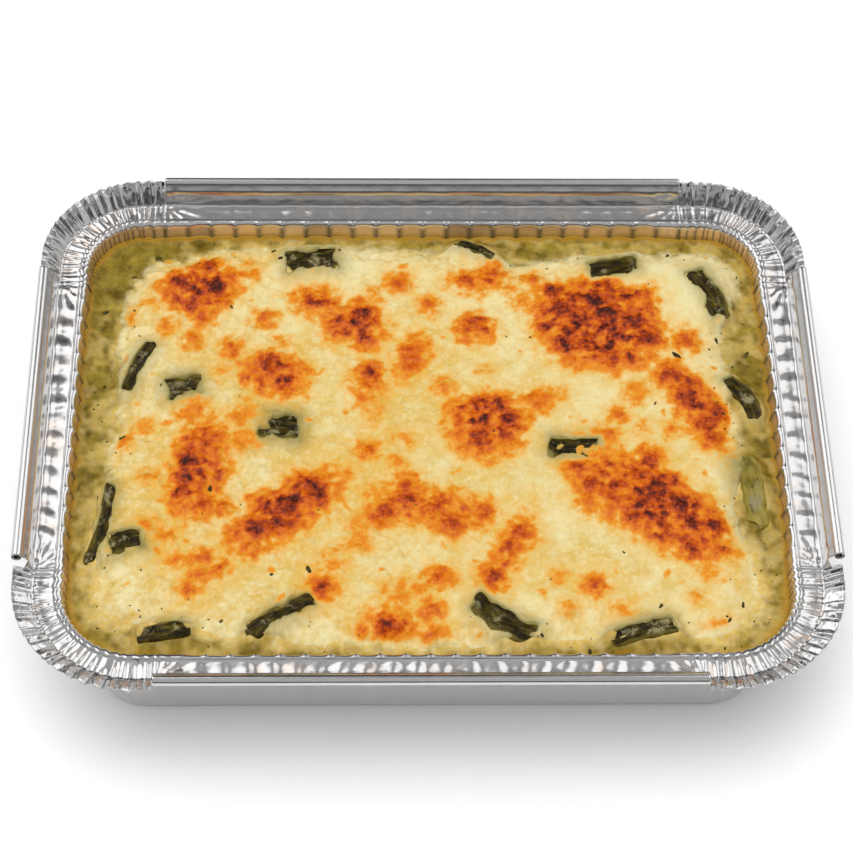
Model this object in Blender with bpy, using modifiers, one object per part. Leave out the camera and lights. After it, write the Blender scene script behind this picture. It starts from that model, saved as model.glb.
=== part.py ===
"""A foil takeaway tray of baked cheese gratin, with strips of green pepper showing through the cheese.

Metres, +Z up. The origin is on the table under the middle of the tray, and the long side runs along X.
The tray is one pressed sheet of foil: fluted walls, a bead, a flat ledge and an upstand. The upstand
ends in a rolled hem on the four straights, and in a flared, crinkled flange round the four corners.
The gratin is its sauce up to the level that shows at the walls, the cheese that lies on the sauce,
and the strips, which lie on the sauce in wells of the cheese.
"""

import math

import bmesh
import bpy
from mathutils import Matrix, Vector, noise
from mathutils.geometry import intersect_point_line

# Millimetres to metres: every size below is in millimetres
MM = 0.001

# Plan of the tray: insets are measured inwards from this outer line
LENGTH = 227.0
WIDTH = 177.0
FAR_RADIUS = 30.0
NEAR_RADIUS = 34.5
HEM_SETBACK = 5.5

# The pressed sheet
FOIL = 0.2
HEIGHT = 50.0
LEDGE_HEIGHT = 42.0
WALL_INSET = 13.6
WALL_TAPER = 0.18
BASE_EDGE = 2.5
BEAD_WIDTH = 2.1
BEAD_HEIGHT = 0.7
FOLD_INSET = 5.2
HEM_WIDTH = 3.0
FAR_FLANGE = 47.5
NEAR_FLANGE = 45.2

# Flutes of the wall, and pleats of the corners
LONG_FLUTES = 22
SHORT_FLUTES = 15
FLUTE_DEPTH = 0.9
FLUTE_FADE = 4
CORNER_COLUMNS = 16
HEM_GAP = 0.7
PLEAT_DEPTH = 0.45

# The food
GAP = 0.3
SAUCE_LEVEL = 36.0
CHEESE_THICKNESS = 2.7
CHEESE_LIP = 0.7
CHEESE_SHOULDER = 9.0
CHEESE_CELL = 4.3
SWELLS = ((34.0, 0.9), (13.0, 0.7), (6.5, 0.35))

# How far the cheese stops short of the wall, at even steps round it, anticlockwise from the right side
CHEESE_MARGINS = (
    7.5, 12.0, 8.0, 9.0, 11.0, 3.0, 4.0,
    4.0, 5.0, 8.0, 3.0, 1.5, 2.0, 2.0, 6.0, 13.0,
    9.0, 8.5, 9.5, 7.0, 5.0, 8.0, 11.0,
    10.0, 7.0, 4.5, 3.2, 4.0, 5.5, 7.0, 6.5, 9.5,
)

# Pepper strips: middle across and along the tray, length, width, turn in degrees, bend sideways
PEPPERS = (
    (-33.3, 63.6, 16.5, 9.5, 7, 0.6),
    (16.0, 68.0, 12.8, 3.6, -27, 0.8),
    (57.1, 61.5, 16.6, 7.8, 11, 0.0),
    (84.5, 51.5, 19.6, 7.0, -70, 1.5),
    (91.0, 12.7, 16.7, 5.4, -60, 1.8),
    (91.2, -20.6, 22.4, 6.6, -84, 1.0),
    (-83.2, 23.7, 19.5, 4.2, -110, -0.8),
    (-69.9, 16.0, 11.1, 8.5, 11, 0.6),
    (-41.9, 1.6, 12.6, 10.2, -3, 0.8),
    (42.5, -4.8, 15.7, 7.9, 0, -0.8),
    (-91.5, -30.7, 27.0, 3.6, -100, 1.2),
    (-83.4, -37.6, 10.6, 8.5, 13, 0.5),
    (-72.0, -66.4, 12.7, 5.7, 10, 0.4),
    (-40.1, -61.5, 20.3, 5.6, 32, 1.0),
    (20.2, -61.8, 20.1, 7.9, -35, -1.2),
    (58.4, -66.6, 17.4, 6.0, 16, 0.8),
)
PEPPER_THICKNESS = 3.0
PEPPER_HUMP = 0.7
PEPPER_EDGE = 0.8
PEPPER_TIP = 0.7
WELL_CLEARANCE = 0.4


class Station:
    """One column of points round the tray: where it stands, which way it faces and how it is pressed."""

    def __init__(self, outer, angle, flute=0.0, pleat=0.0, flange=None):
        self.outer = outer
        self.outward = facing(angle)
        self.flute = flute
        self.pleat = pleat
        self.flange = flange

    def point(self, inset, height):
        """The place at this inset from the outer line and this height."""
        flat = self.outer - self.outward * inset
        return Vector((flat.x, flat.y, height)) * MM


def facing(angle):
    """The level direction at this angle."""
    return Vector((math.cos(angle), math.sin(angle)))


def side_stations(start, end, angle, flutes):
    """Two columns for each flute of a straight side: a cusp, then a crown."""
    steps = 2 * flutes
    for step in range(steps + 1):
        fade = min(1.0, min(step, steps - step) / FLUTE_FADE)
        yield Station(start.lerp(end, step / steps), angle, flute=(step % 2) * fade)


def corner_stations(centre, radius, angle, flange):
    """The columns from one hem to the next, pressed up and down in turn to make the pleats."""
    arc = radius * math.pi / 2
    whole = arc + 2 * HEM_SETBACK
    for step in range(CORNER_COLUMNS):
        run = HEM_GAP + (whole - 2 * HEM_GAP) * step / (CORNER_COLUMNS - 1) - HEM_SETBACK
        turned = angle + min(max(run, 0.0), arc) / radius
        beyond = min(run, 0.0) + max(run - arc, 0.0)
        outer = centre + facing(turned) * radius + facing(turned + math.pi / 2) * beyond
        yield Station(outer, turned, pleat=(-1) ** step, flange=flange)


def all_stations():
    """The columns all the way round, anticlockwise from the near end of the right side."""
    corners = []
    for right, far in ((1, 1), (-1, 1), (-1, -1), (1, -1)):
        radius = FAR_RADIUS if far > 0 else NEAR_RADIUS
        centre = Vector((right * (LENGTH / 2 - radius), far * (WIDTH / 2 - radius)))
        corners.append((centre, radius, FAR_FLANGE if far > 0 else NEAR_FLANGE))
    found = []
    for quarter, (centre, radius, flange) in enumerate(corners):
        angle = quarter * math.pi / 2
        before, before_radius, _ = corners[quarter - 1]
        along = facing(angle + math.pi / 2)
        start = before + facing(angle) * before_radius + along * HEM_SETBACK
        end = centre + facing(angle) * radius - along * HEM_SETBACK
        found += side_stations(start, end, angle, LONG_FLUTES if quarter % 2 else SHORT_FLUTES)
        found += corner_stations(centre, radius, angle, flange)
    return found


STATIONS = all_stations()


def wall_inset(height):
    """Inset of the wall's outer face between the base's edge and the bead."""
    return WALL_INSET + WALL_TAPER * (LEDGE_HEIGHT - 1.2 - height)


def profile(flange_height=None):
    """Levels of the sheet from the base to its outer edge: inset, height, flute depth, pleat depth.

    With a flange height they are those of a corner, and otherwise those of a straight with its hem.
    """
    foot = wall_inset(BASE_EDGE)
    wall = [
        (foot + BASE_EDGE, 0.0, 0.0, 0.0),
        (foot, BASE_EDGE, FLUTE_DEPTH, 0.0),
        (WALL_INSET, LEDGE_HEIGHT - 1.2, FLUTE_DEPTH, 0.3 * PLEAT_DEPTH),
        (WALL_INSET - BEAD_WIDTH / 2, LEDGE_HEIGHT + BEAD_HEIGHT, 0.0, 0.3 * PLEAT_DEPTH),
        (WALL_INSET - BEAD_WIDTH, LEDGE_HEIGHT, 0.0, 0.5 * PLEAT_DEPTH),
        (FOLD_INSET, LEDGE_HEIGHT, 0.0, 0.5 * PLEAT_DEPTH),
    ]
    # The sheet's outer face lies inside the roll, so the foil's thickness comes on top of these
    skin = 1.2 * FOIL
    hem = [
        (HEM_WIDTH, HEIGHT - 1.0, 0.0, 0.0),
        (HEM_WIDTH / 2, HEIGHT - skin, 0.0, 0.0),
        (skin, HEIGHT - 1.0, 0.0, 0.0),
        (0.7, HEIGHT - 2.7, 0.0, 0.0),
    ]
    if flange_height is None:
        return wall + hem
    rise = flange_height - LEDGE_HEIGHT
    flange = [
        (3.6, LEDGE_HEIGHT + 0.45 * rise, 0.0, PLEAT_DEPTH),
        (2.0, LEDGE_HEIGHT + 0.75 * rise, 0.0, PLEAT_DEPTH),
        (0.7, flange_height, 0.0, PLEAT_DEPTH),
        (skin, flange_height - 0.4, 0.0, PLEAT_DEPTH),
    ]
    return wall + flange


def loft(rings, cap_first, cap_last):
    """A mesh of bands between closed rings of equally many points, with or without flat ends."""
    shape = bmesh.new()
    made = [[shape.verts.new(point) for point in ring] for ring in rings]
    count = len(made[0])
    for low, high in zip(made, made[1:]):
        for here in range(count):
            after = (here + 1) % count
            shape.faces.new((low[here], low[after], high[after], high[here]))
    if cap_first:
        shape.faces.new(reversed(made[0]))
    if cap_last:
        shape.faces.new(made[-1])
    return shape


def finish_mesh(shape, name, collection, material=None):
    """Turns the mesh into an object of this name, shaded smooth between its sharper edges."""
    mesh = bpy.data.meshes.new(name)
    shape.to_mesh(mesh)
    shape.free()
    mesh.shade_smooth()
    mesh.set_sharp_from_angle(angle=math.radians(40))
    made = bpy.data.objects.new(name, mesh)
    if material:
        mesh.materials.append(material)
    collection.objects.link(made)
    return made


def finish_of(name, colour, roughness, metallic=0.0):
    """A plain material of this colour."""
    material = bpy.data.materials.new(name)
    material.use_nodes = True
    shader = material.node_tree.nodes["Principled BSDF"]
    shader.inputs["Base Color"].default_value = (*colour, 1.0)
    shader.inputs["Roughness"].default_value = roughness
    shader.inputs["Metallic"].default_value = metallic
    return material


def new_collection(name):
    made = bpy.data.collections.new(name)
    bpy.context.scene.collection.children.link(made)
    return made


def helper(made):
    """Marks a cutter or a guide, which isn't part of the object."""
    made.hide_render = True
    made.display_type = "WIRE"
    return made


def build_tray(collection):
    """The pressed foil sheet: its outer face, thickened inwards."""
    columns = []
    for station in STATIONS:
        columns.append([station.point(inset - flute * station.flute, height + pleat * station.pleat)
                        for inset, height, flute, pleat in profile(station.flange)])
    rings = list(zip(*columns))
    tray = finish_mesh(
        loft(rings, True, False), "tray", collection,
        finish_of("pressed_foil", (0.78, 0.78, 0.79), 0.28, 1.0))
    sheet = tray.modifiers.new("Foil", "SOLIDIFY")
    sheet.thickness = FOIL * MM
    sheet.offset = -1.0
    sheet.use_even_offset = True
    return tray


def build_sauce(collection):
    """The sauce that fills the tray, up to the level that shows between the cheese and the wall."""
    off = 2 * GAP
    foot = wall_inset(BASE_EDGE)
    levels = (
        (foot + BASE_EDGE + GAP, FOIL + GAP, 0.0),
        (foot + off, BASE_EDGE + GAP, FLUTE_DEPTH),
        (wall_inset(SAUCE_LEVEL) + off, SAUCE_LEVEL, FLUTE_DEPTH),
    )
    rings = [[station.point(inset - flute * station.flute, height) for station in STATIONS]
             for inset, height, flute in levels]
    return finish_mesh(
        loft(rings, True, True), "sauce", collection,
        finish_of("green_pepper_sauce", (0.62, 0.60, 0.25), 0.3))


def smooth_margin(share):
    """The cheese's margin at this share of the way round, eased from one named value to the next."""
    place = share * len(CHEESE_MARGINS)
    step = int(place)
    ease = (1 - math.cos(math.pi * (place - step))) / 2
    before = CHEESE_MARGINS[step % len(CHEESE_MARGINS)]
    after = CHEESE_MARGINS[(step + 1) % len(CHEESE_MARGINS)]
    return before + (after - before) * ease


def cheese_outline():
    """Points of the cheese's uneven edge, in millimetres, one for every other station."""
    wall = wall_inset(SAUCE_LEVEL)
    run = [0.0]
    feet = [station.point(wall, 0) / MM for station in STATIONS]
    for here, after in zip(feet, feet[1:] + feet[:1]):
        run.append(run[-1] + (after - here).length)
    return [station.point(wall + smooth_margin(run[index] / run[-1]), 0).xy / MM
            for index, station in enumerate(STATIONS) if index % 2 == 0]


def edge_distance(spot, outline):
    """How far a spot lies from the outline, in millimetres."""
    nearest = math.inf
    for here, after in zip(outline, outline[1:] + outline[:1]):
        on_line, share = intersect_point_line(spot, here, after)
        share = min(1.0, max(0.0, share))
        nearest = min(nearest, (here.lerp(after, share) - spot).length)
    return nearest


def cheese_height(spot, outline):
    """Height of the cheese's top: slow swells, falling in a round shoulder to the lip at its edge."""
    swell = sum(depth * noise.noise(Vector((spot.x / size, spot.y / size, size))) for size, depth in SWELLS)
    share = min(1.0, edge_distance(spot, outline) / CHEESE_SHOULDER)
    shoulder = 1 - (1 - share) ** 2
    return SAUCE_LEVEL + GAP + CHEESE_LIP + (CHEESE_THICKNESS - CHEESE_LIP + swell) * shoulder


def prism(outline, low, high):
    """An upright solid on this outline, in millimetres."""
    return loft([[Vector((spot.x, spot.y, height)) * MM for spot in outline] for height in (low, high)], True, True)


def build_cheese(collection, cutters, wells):
    """The melted cheese: a block with a relief on top, cut to its uneven edge and round the strips."""
    outline = cheese_outline()
    half = Vector((LENGTH / 2 - WALL_INSET, WIDTH / 2 - WALL_INSET))
    shape = bmesh.new()
    bmesh.ops.create_grid(
        shape, x_segments=round(2 * half.x / CHEESE_CELL), y_segments=round(2 * half.y / CHEESE_CELL), size=1.0)
    for vert in shape.verts:
        spot = Vector((vert.co.x * half.x, vert.co.y * half.y))
        vert.co = Vector((spot.x, spot.y, cheese_height(spot, outline))) * MM
    rim = [edge for edge in shape.edges if edge.is_boundary]
    skirt = bmesh.ops.extrude_edge_only(shape, edges=rim)["geom"]
    for vert in (part for part in skirt if isinstance(part, bmesh.types.BMVert)):
        vert.co.z = (SAUCE_LEVEL + GAP) * MM
    bmesh.ops.contextual_create(shape, geom=[part for part in skirt if isinstance(part, bmesh.types.BMEdge)])
    bmesh.ops.recalc_face_normals(shape, faces=shape.faces)
    cheese = finish_mesh(
        shape, "cheese", collection, finish_of("baked_cheese", (0.86, 0.72, 0.38), 0.42))

    edge = helper(finish_mesh(prism(outline, SAUCE_LEVEL - 2, HEIGHT), "cheese_edge", cutters))
    trim = cheese.modifiers.new("Edge", "BOOLEAN")
    trim.operation = "INTERSECT"
    trim.object = edge
    cut = cheese.modifiers.new("Wells", "BOOLEAN")
    cut.operation = "DIFFERENCE"
    cut.operand_type = "COLLECTION"
    cut.collection = wells
    return cheese


def bent_bar(length, width, low, high, hump, bend):
    """A bar along X, bowed sideways and humped in the middle, in metres."""
    shape = bmesh.new()
    bmesh.ops.create_cube(shape, size=1.0)
    along = [edge for edge in shape.edges if abs(edge.verts[0].co.x - edge.verts[1].co.x) > 0.5]
    bmesh.ops.subdivide_edges(shape, edges=along, cuts=3)
    for vert in shape.verts:
        bow = 1 - 4 * vert.co.x ** 2
        narrow = PEPPER_TIP + (1 - PEPPER_TIP) * bow
        height = high + hump * (bow - 1) if vert.co.z > 0 else low
        vert.co = Vector((vert.co.x * length, vert.co.y * width * narrow + bend * bow, height)) * MM
    return shape


def build_pepper(number, place, collection, wells, material):
    """One strip, lying on the sauce, and the cutter of its well in the cheese."""
    x, y, length, width, turn, bend = place
    low = SAUCE_LEVEL + GAP
    strip_name = f"pepper_{number:02d}"
    strip = bent_bar(length, width, low, low + PEPPER_THICKNESS, PEPPER_HUMP, bend)
    grown = 2 * WELL_CLEARANCE
    well = bent_bar(length + grown, width + grown / PEPPER_TIP, low - 2, HEIGHT, 0.0, bend)
    spin = Matrix.Rotation(math.radians(turn), 4, "Z")
    spot = Matrix.Translation(Vector((x, y, 0)) * MM)
    made = finish_mesh(strip, strip_name, collection, material)
    cutter = helper(finish_mesh(well, strip_name + "_well", wells))
    for piece in (made, cutter):
        piece.matrix_world = spot @ spin
    rounding = made.modifiers.new("Edges", "BEVEL")
    rounding.width = PEPPER_EDGE * MM
    rounding.segments = 1
    return made


def build():
    for leftover in list(bpy.data.objects):
        bpy.data.objects.remove(leftover)
    meal = new_collection("foil_tray_meal")
    cutters = new_collection("cutters")
    wells = new_collection("wells")
    skin = finish_of("green_pepper_skin", (0.06, 0.09, 0.03), 0.3)
    build_tray(meal)
    build_sauce(meal)
    for number, place in enumerate(PEPPERS, start=1):
        build_pepper(number, place, meal, wells, skin)
    build_cheese(meal, cutters, wells)


build()
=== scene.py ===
"""Looks of the foil takeaway tray of baked cheese gratin, on a pale floor under soft studio light."""
import math

import bmesh
import bpy
import numpy as np
from mathutils import Matrix, Vector, noise


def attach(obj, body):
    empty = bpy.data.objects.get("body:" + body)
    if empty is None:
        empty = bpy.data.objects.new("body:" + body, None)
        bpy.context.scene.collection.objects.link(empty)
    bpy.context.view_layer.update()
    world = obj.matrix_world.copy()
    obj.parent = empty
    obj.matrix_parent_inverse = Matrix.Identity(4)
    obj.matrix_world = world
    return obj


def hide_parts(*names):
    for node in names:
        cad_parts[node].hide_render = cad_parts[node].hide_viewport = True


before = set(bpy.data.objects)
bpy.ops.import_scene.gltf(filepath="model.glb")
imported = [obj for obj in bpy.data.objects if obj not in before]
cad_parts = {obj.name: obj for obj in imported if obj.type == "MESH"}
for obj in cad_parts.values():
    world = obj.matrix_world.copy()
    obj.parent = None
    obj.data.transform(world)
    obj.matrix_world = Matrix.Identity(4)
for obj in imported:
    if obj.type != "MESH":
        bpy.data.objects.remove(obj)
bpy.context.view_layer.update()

# Sizes are in millimetres, and the tray's own are those of its solids
MM = 0.001
LENGTH = 227.0
WIDTH = 177.0
FAR_RADIUS = 30.0
NEAR_RADIUS = 34.5
HEM_SETBACK = 5.5
HEIGHT = 50.0
LEDGE_HEIGHT = 42.0
WALL_INSET = 13.6
WALL_TAPER = 0.18
BASE_EDGE = 2.5
BEAD_WIDTH = 2.1
BEAD_HEIGHT = 0.7
FOLD_INSET = 5.2
HEM_WIDTH = 3.0
FAR_FLANGE = 47.5
NEAR_FLANGE = 45.2
LONG_FLUTES = 22
SHORT_FLUTES = 15
FLUTE_DEPTH = 0.9
BEAD_DROP = 1.2
WALL_TOP = LEDGE_HEIGHT - 1.6
FOLD_HEIGHT = LEDGE_HEIGHT + 0.15
# The gap between a hem's end and the flange, and how far in from that end the flutes reach full depth
HEM_GAP = 0.15
HEM_FADE = 14
# The share of a corner's flange that continues the upstand; the rest continues the hem's roll
FLANGE_SPLIT = 0.6
SAUCE_LEVEL = 36.0
CHEESE_THICKNESS = 2.7
CHEESE_LIP = 0.7
CHEESE_SHOULDER = 9.0
SWELLS = ((34.0, 0.9), (13.0, 0.7), (6.5, 0.35))
CHEESE_MARGINS = np.array((
    7.5, 12.0, 8.0, 9.0, 11.0, 3.0, 4.0,
    4.0, 5.0, 8.0, 3.0, 1.5, 2.0, 2.0, 6.0, 13.0,
    9.0, 8.5, 9.5, 7.0, 5.0, 8.0, 11.0,
    10.0, 7.0, 4.5, 3.2, 4.0, 5.5, 7.0, 6.5, 9.5,
))

# Pepper strips: middle x and y, length, width, turn in degrees, bend sideways, and how much of the strip
# the cheese veils
PEPPERS = (
    (-33.3, 63.6, 16.5, 9.5, 7, 0.6, 0.25),
    (16.0, 68.0, 12.8, 3.6, -27, 0.8, 0.1),
    (57.1, 61.5, 16.6, 7.8, 11, 0.0, 0.0),
    (84.5, 51.5, 19.6, 7.0, -70, 1.5, 0.05),
    (91.0, 12.7, 16.7, 5.4, -60, 1.8, 0.0),
    (91.2, -20.6, 22.4, 6.6, -84, 1.0, 0.9),
    (-83.2, 23.7, 19.5, 4.2, -110, -0.8, 0.1),
    (-69.9, 16.0, 11.1, 8.5, 11, 0.6, 0.3),
    (-41.9, 1.6, 12.6, 10.2, -3, 0.8, 0.5),
    (42.5, -4.8, 15.7, 7.9, 0, -0.8, 0.3),
    (-91.5, -30.7, 27.0, 3.6, -100, 1.2, 0.2),
    (-83.4, -37.6, 10.6, 8.5, 13, 0.5, 0.2),
    (-72.0, -66.4, 12.7, 5.7, 10, 0.4, 0.25),
    (-40.1, -61.5, 20.3, 5.6, 32, 1.0, 0.08),
    (20.2, -61.8, 20.1, 7.9, -35, -1.2, 0.0),
    (58.4, -66.6, 17.4, 6.0, 16, 0.8, 0.4),
)
# Smaller scraps: middle x and y, length, width and turn in degrees
SCRAPS = (
    (73.7, 27.7, 4.3, 1.8, -40), (-90.0, 24.4, 10.7, 1.5, -98), (-79.5, 66.8, 4.0, 2.0, -8),
    (-71.5, 68.2, 2.6, 1.2, 10), (-86.5, 59.5, 2.6, 1.5, -20), (-94.5, 46.0, 2.6, 1.8, 20),
)
STRIP_FOOT = 36.3
STRIP_THICKNESS = 3.0
STRIP_TOP = STRIP_FOOT + STRIP_THICKNESS
STRIP_ROUNDING = 1.2

# Browned patches: middle x and y, half length, half width, turn in degrees, darkness.
# A small dark patch inside a larger one is a core of it.
BROWNED = (
    (-66.7, 52.9, 10.7, 9.1, 13, 0.62), (-72.7, 54.4, 3, 3.5, 0, 0.85), (-64.6, 61.8, 2.7, 3.1, 0, 0.85),
    (-61.9, 53.6, 3.6, 3.5, 0, 1), (-68.5, 47.1, 2.7, 3, 0, 0.85), (-65.4, 42.2, 2.4, 3, 0, 0.6),
    (-57.9, 57.1, 3, 2.7, 0, 0.6), (-43.7, 21, 9, 7.1, -24, 0.6), (-46.7, 23.6, 2.6, 2.9, 0, 0.85),
    (-40.2, 17.8, 2.6, 2.5, 0, 0.65), (-31.8, 47.9, 6.3, 4.5, -15, 0.62), (-33.9, 48.7, 2.4, 2.7, 0, 0.75),
    (-20.5, 39.2, 8.7, 7.4, -15, 0.62), (-17.2, 42.2, 2.7, 3, 0, 0.95), (-24.9, 40.3, 2.7, 2.6, 0, 0.8),
    (-16.7, 34, 2.4, 2.6, 0, 0.8), (-7.7, 55.2, 3, 2.7, 0, 0.6), (-14.8, 50.2, 1.8, 1.9, 0, 0.45),
    (1.5, 46.8, 2.4, 2.7, 0, 0.5), (-4.1, 27.7, 4.7, 7.3, -13, 0.55), (-4.4, 29.5, 2.3, 3, 0, 0.75),
    (-16.1, 21.4, 2.6, 2.9, 0, 0.85), (-16.7, 17, 5.5, 9, 0, 0.38), (14.9, 37.7, 5.3, 5.6, 0, 0.55),
    (14.7, 39.2, 2.7, 2.6, 0, 0.75), (16.9, 56.8, 8.1, 4.6, 6, 0.5), (12.7, 56.4, 2.7, 2.7, 0, 0.7),
    (20.9, 59.1, 2.4, 2.7, 0, 0.7), (26.1, 53.3, 2.4, 2.3, 0, 0.35), (28.9, 48.4, 2.1, 2.3, 0, 0.45),
    (32.5, 56.1, 2.4, 2.7, 0, 0.55), (51.4, 39.6, 18.9, 16.4, -15, 0.7), (38, 51.1, 3.3, 3.5, 0, 0.85),
    (41, 44.9, 3.6, 3.8, 0, 0.9), (50.6, 47.6, 3.6, 3.8, 0, 1), (53.9, 41.9, 3.9, 3.8, 0, 1),
    (62.1, 40, 3.6, 3.8, 0, 0.95), (66.4, 34, 3.5, 3.4, 0, 0.9), (44.2, 31.8, 3.5, 3.3, 0, 0.8),
    (52.6, 29.5, 4.1, 3.3, 0, 0.8), (64.8, 50.3, 3, 2.7, 0, 0.75), (76.8, 33.6, 3.3, 3.4, 0, 0.6),
    (76.6, 11.9, 14.6, 5.7, -57, 0.6), (70.8, 20.7, 3.2, 3.3, 0, 0.8), (77, 17, 2.6, 2.9, 0, 0.8),
    (76.9, 12.3, 2.9, 3.3, 0, 0.95), (84.3, 7.3, 2.9, 3.2, 0, 0.85), (80.2, 2.6, 3.2, 3.2, 0, 0.85),
    (81.9, -1.7, 2.6, 3.2, 0, 0.75), (61, 14.1, 3.8, 4, 0, 0.35), (55.6, 6.2, 2.3, 2.1, 0, 0.55),
    (62, 1.2, 0.9, 1.1, 0, 0.45), (51.5, -0.9, 2.9, 2.8, 0, 0.5), (17.5, 2.6, 10.8, 11.5, -25, 0.6),
    (20.8, 9.8, 3.2, 3.2, 0, 0.9), (23.6, 4.8, 3.2, 3.2, 0, 0.95), (15.1, -0.9, 3.7, 3.5, 0, 0.8),
    (32.5, 11.6, 4.4, 3.9, 12, 0.5), (5.4, 15.9, 2.3, 2.5, 0, 0.45), (-17, -6.8, 2.8, 2.8, 0, 0.5),
    (-8.5, -11, 2.6, 2.4, 0, 0.35), (0.6, -25.8, 16.9, 8, -15, 0.42), (-6, -18.6, 2.5, 2.7, 0, 0.8),
    (-12.3, -27.8, 3.6, 3, 0, 0.75), (-5.2, -24.1, 2.8, 2.7, 0, 0.85), (6.4, -31.9, 3.3, 3, 0, 0.75),
    (15.5, -27.9, 3.4, 3, 0, 0.6), (0.6, -26.8, 2.5, 2.4, 0, 0.65), (22, -41.2, 9.7, 3.4, 63, 0.55),
    (25.6, -34.9, 2.8, 3, 0, 0.8), (17.6, -48.8, 2.5, 2.9, 0, 0.85), (-19.2, -37.2, 3.3, 3.3, 0, 0.35),
    (-25.3, -44.8, 2.5, 2.3, 0, 0.4), (-39.9, -27.1, 17.4, 7.7, 41, 0.68),
    (-46.2, -33.1, 3.9, 3.7, 0, 0.9), (-39.6, -26.8, 3.9, 3.7, 0, 0.9), (-33, -20.3, 3.7, 3.4, 0, 0.85),
    (-65, -12.7, 7.7, 15.3, -10, 0.6), (-67.9, -10.3, 3.1, 3.5, 0, 0.95), (-62.8, -4.7, 2.8, 3.1, 0, 0.7),
    (-68.4, -18.9, 2.8, 3.4, 0, 0.8), (-63.4, -25, 2.5, 3, 0, 0.7), (-53.7, 5.5, 3.4, 2.8, 0, 0.42),
    (-80.4, 2, 3.4, 3.2, 0, 0.3), (-85.9, -1.9, 1.7, 1.8, 0, 0.5), (-78.7, -15.1, 2.3, 2.1, 0, 0.4),
    (-57.5, -25.7, 2.2, 2.4, 0, 0.6), (-78.2, -31.7, 1.9, 1.7, 0, 0.5), (-73, -35.1, 2.2, 1.7, 0, 0.5),
    (-57.7, -46.3, 1.9, 2, 0, 0.6), (-62.8, -42.7, 1.9, 2, 0, 0.65), (-69.6, -43.4, 2.2, 1.6, 0, 0.5),
    (-62.8, -48, 2.2, 2, 0, 0.55), (-65.7, -52.5, 2.2, 1.9, 0, 0.6), (-29.3, -52.3, 2.2, 2.6, 0, 0.95),
    (-10.3, -63.9, 5.7, 3.8, -6, 0.6), (-11.9, -63.9, 2.4, 2.5, 0, 1), (-7.5, -55.5, 2.9, 2.2, 34, 0.4),
    (0.4, -59.4, 2.7, 2.9, 0, 0.6), (3, -48.8, 3.3, 2.6, 0, 0.65), (1.4, -67.4, 3.2, 2.5, 0, 0.6),
    (-17.8, -65.7, 1.6, 1.6, 0, 0.55), (-2.5, -53, 2.6, 1.9, 34, 0.45),
    (63.9, -24.9, 23.5, 11.3, -39, 0.62), (63.2, -9.7, 3.1, 3.1, 0, 0.85), (64.7, -21.1, 3.7, 4.1, 0, 1),
    (70.9, -26.3, 3.7, 4.1, 0, 1), (73.3, -31.3, 3.1, 3, 0, 0.95), (79.9, -32.7, 3.1, 3, 0, 0.9),
    (73.3, -39, 3.1, 3, 0, 0.85), (81.6, -39.7, 2.2, 2, 0, 0.65), (42.6, -12.5, 2.8, 3.1, 0, 0.7),
    (45.9, -18.7, 3.4, 3.1, 0, 0.8), (45.1, -24.2, 2.3, 2.4, 0, 0.6), (53.5, -24.5, 2.8, 3.1, 0, 0.7),
    (56, -29.6, 2.8, 2.7, 0, 0.7), (60.6, -15.6, 3.1, 3.1, 0, 0.8), (45.3, -51.8, 2.5, 2.3, 0, 0.65),
    (35.8, -49.2, 1.7, 1.6, 0, 0.4), (38.1, -58.9, 2.7, 2.2, 0, 0.3), (52.6, -58.9, 2.2, 1.9, 0, 0.4),
    (73.6, -55.8, 1.9, 1.6, 0, 0.35), (87.4, -64.1, 2.2, 1.6, 0, 0.4), (80.5, -62.8, 2.2, 1.6, 0, 0.35),
    (76.9, -65.7, 1.9, 1.3, 0, 0.3), (90.2, -8, 2, 1.8, 0, 0.4), (-47.3, 41.1, 2.9, 2.6, 0, 0.55),
    (-56.5, 30.2, 2.3, 2.6, 0, 0.6), (-68, 33.2, 2.6, 2.6, 0, 0.5), (-89.3, 44.1, 2.4, 1.9, 0, 0.5),
    (-41, 32.1, 2.9, 2.2, 0, 0.3), (-76, 39, 1.8, 1.9, 0, 0.5), (-59.1, 22.9, 2.6, 2.6, 0, 0.3),
    (-67.2, 7.7, 3.8, 3.2, 25, 0.42), (-61.8, -0.5, 2.9, 2.8, 0, 0.4), (-52.6, -3, 4.3, 4.2, 0, 0.36),
    (-51.3, 58.7, 1.5, 1.5, 0, 0.5), (-52.4, 62.9, 1.2, 1.2, 0, 0.45), (16.6, 22.1, 1.2, 1.1, 0, 0.4),
    (5.4, 1.2, 1.4, 1.4, 0, 0.35), (70.6, 1.2, 1.7, 1.8, 0, 0.45), (77.7, -46.6, 3.6, 3, -24, 0.3),
    (-19, -31.5, 4.2, 4, 0, 0.3), (-15.5, 9.1, 4.3, 9.3, 0, 0.24), (-7, -2.3, 6.3, 4.6, 0, 0.2),
    (-27.2, -41.5, 7.7, 3.8, 40, 0.2), (-81.3, 49, 2.4, 2.3, 0, 0.3), (-9.4, -53, 7.5, 3.7, 34, 0.22),
    (39, 13.8, 3.5, 3.3, 0, 0.25), (25.8, -29.9, 2.8, 7.3, -24, 0.2), (38.1, -4.8, 1.1, 1.8, 0, 0.22),
    (44.5, -2.7, 0.9, 2.8, 12, 0.33), (53.1, -2.7, 1.4, 2.8, 0, 0.5),
    (42.3, -11.4, 1.1, 2.1, 0, 0.55), (-41.2, 12.7, 1.4, 1.4, 0, 0.4), (-51.5, 8, 1.1, 2.1, 0, 0.45),
)
# Patches with a half length under this are blobs and cores
BLOB_LIMIT = 5
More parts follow.
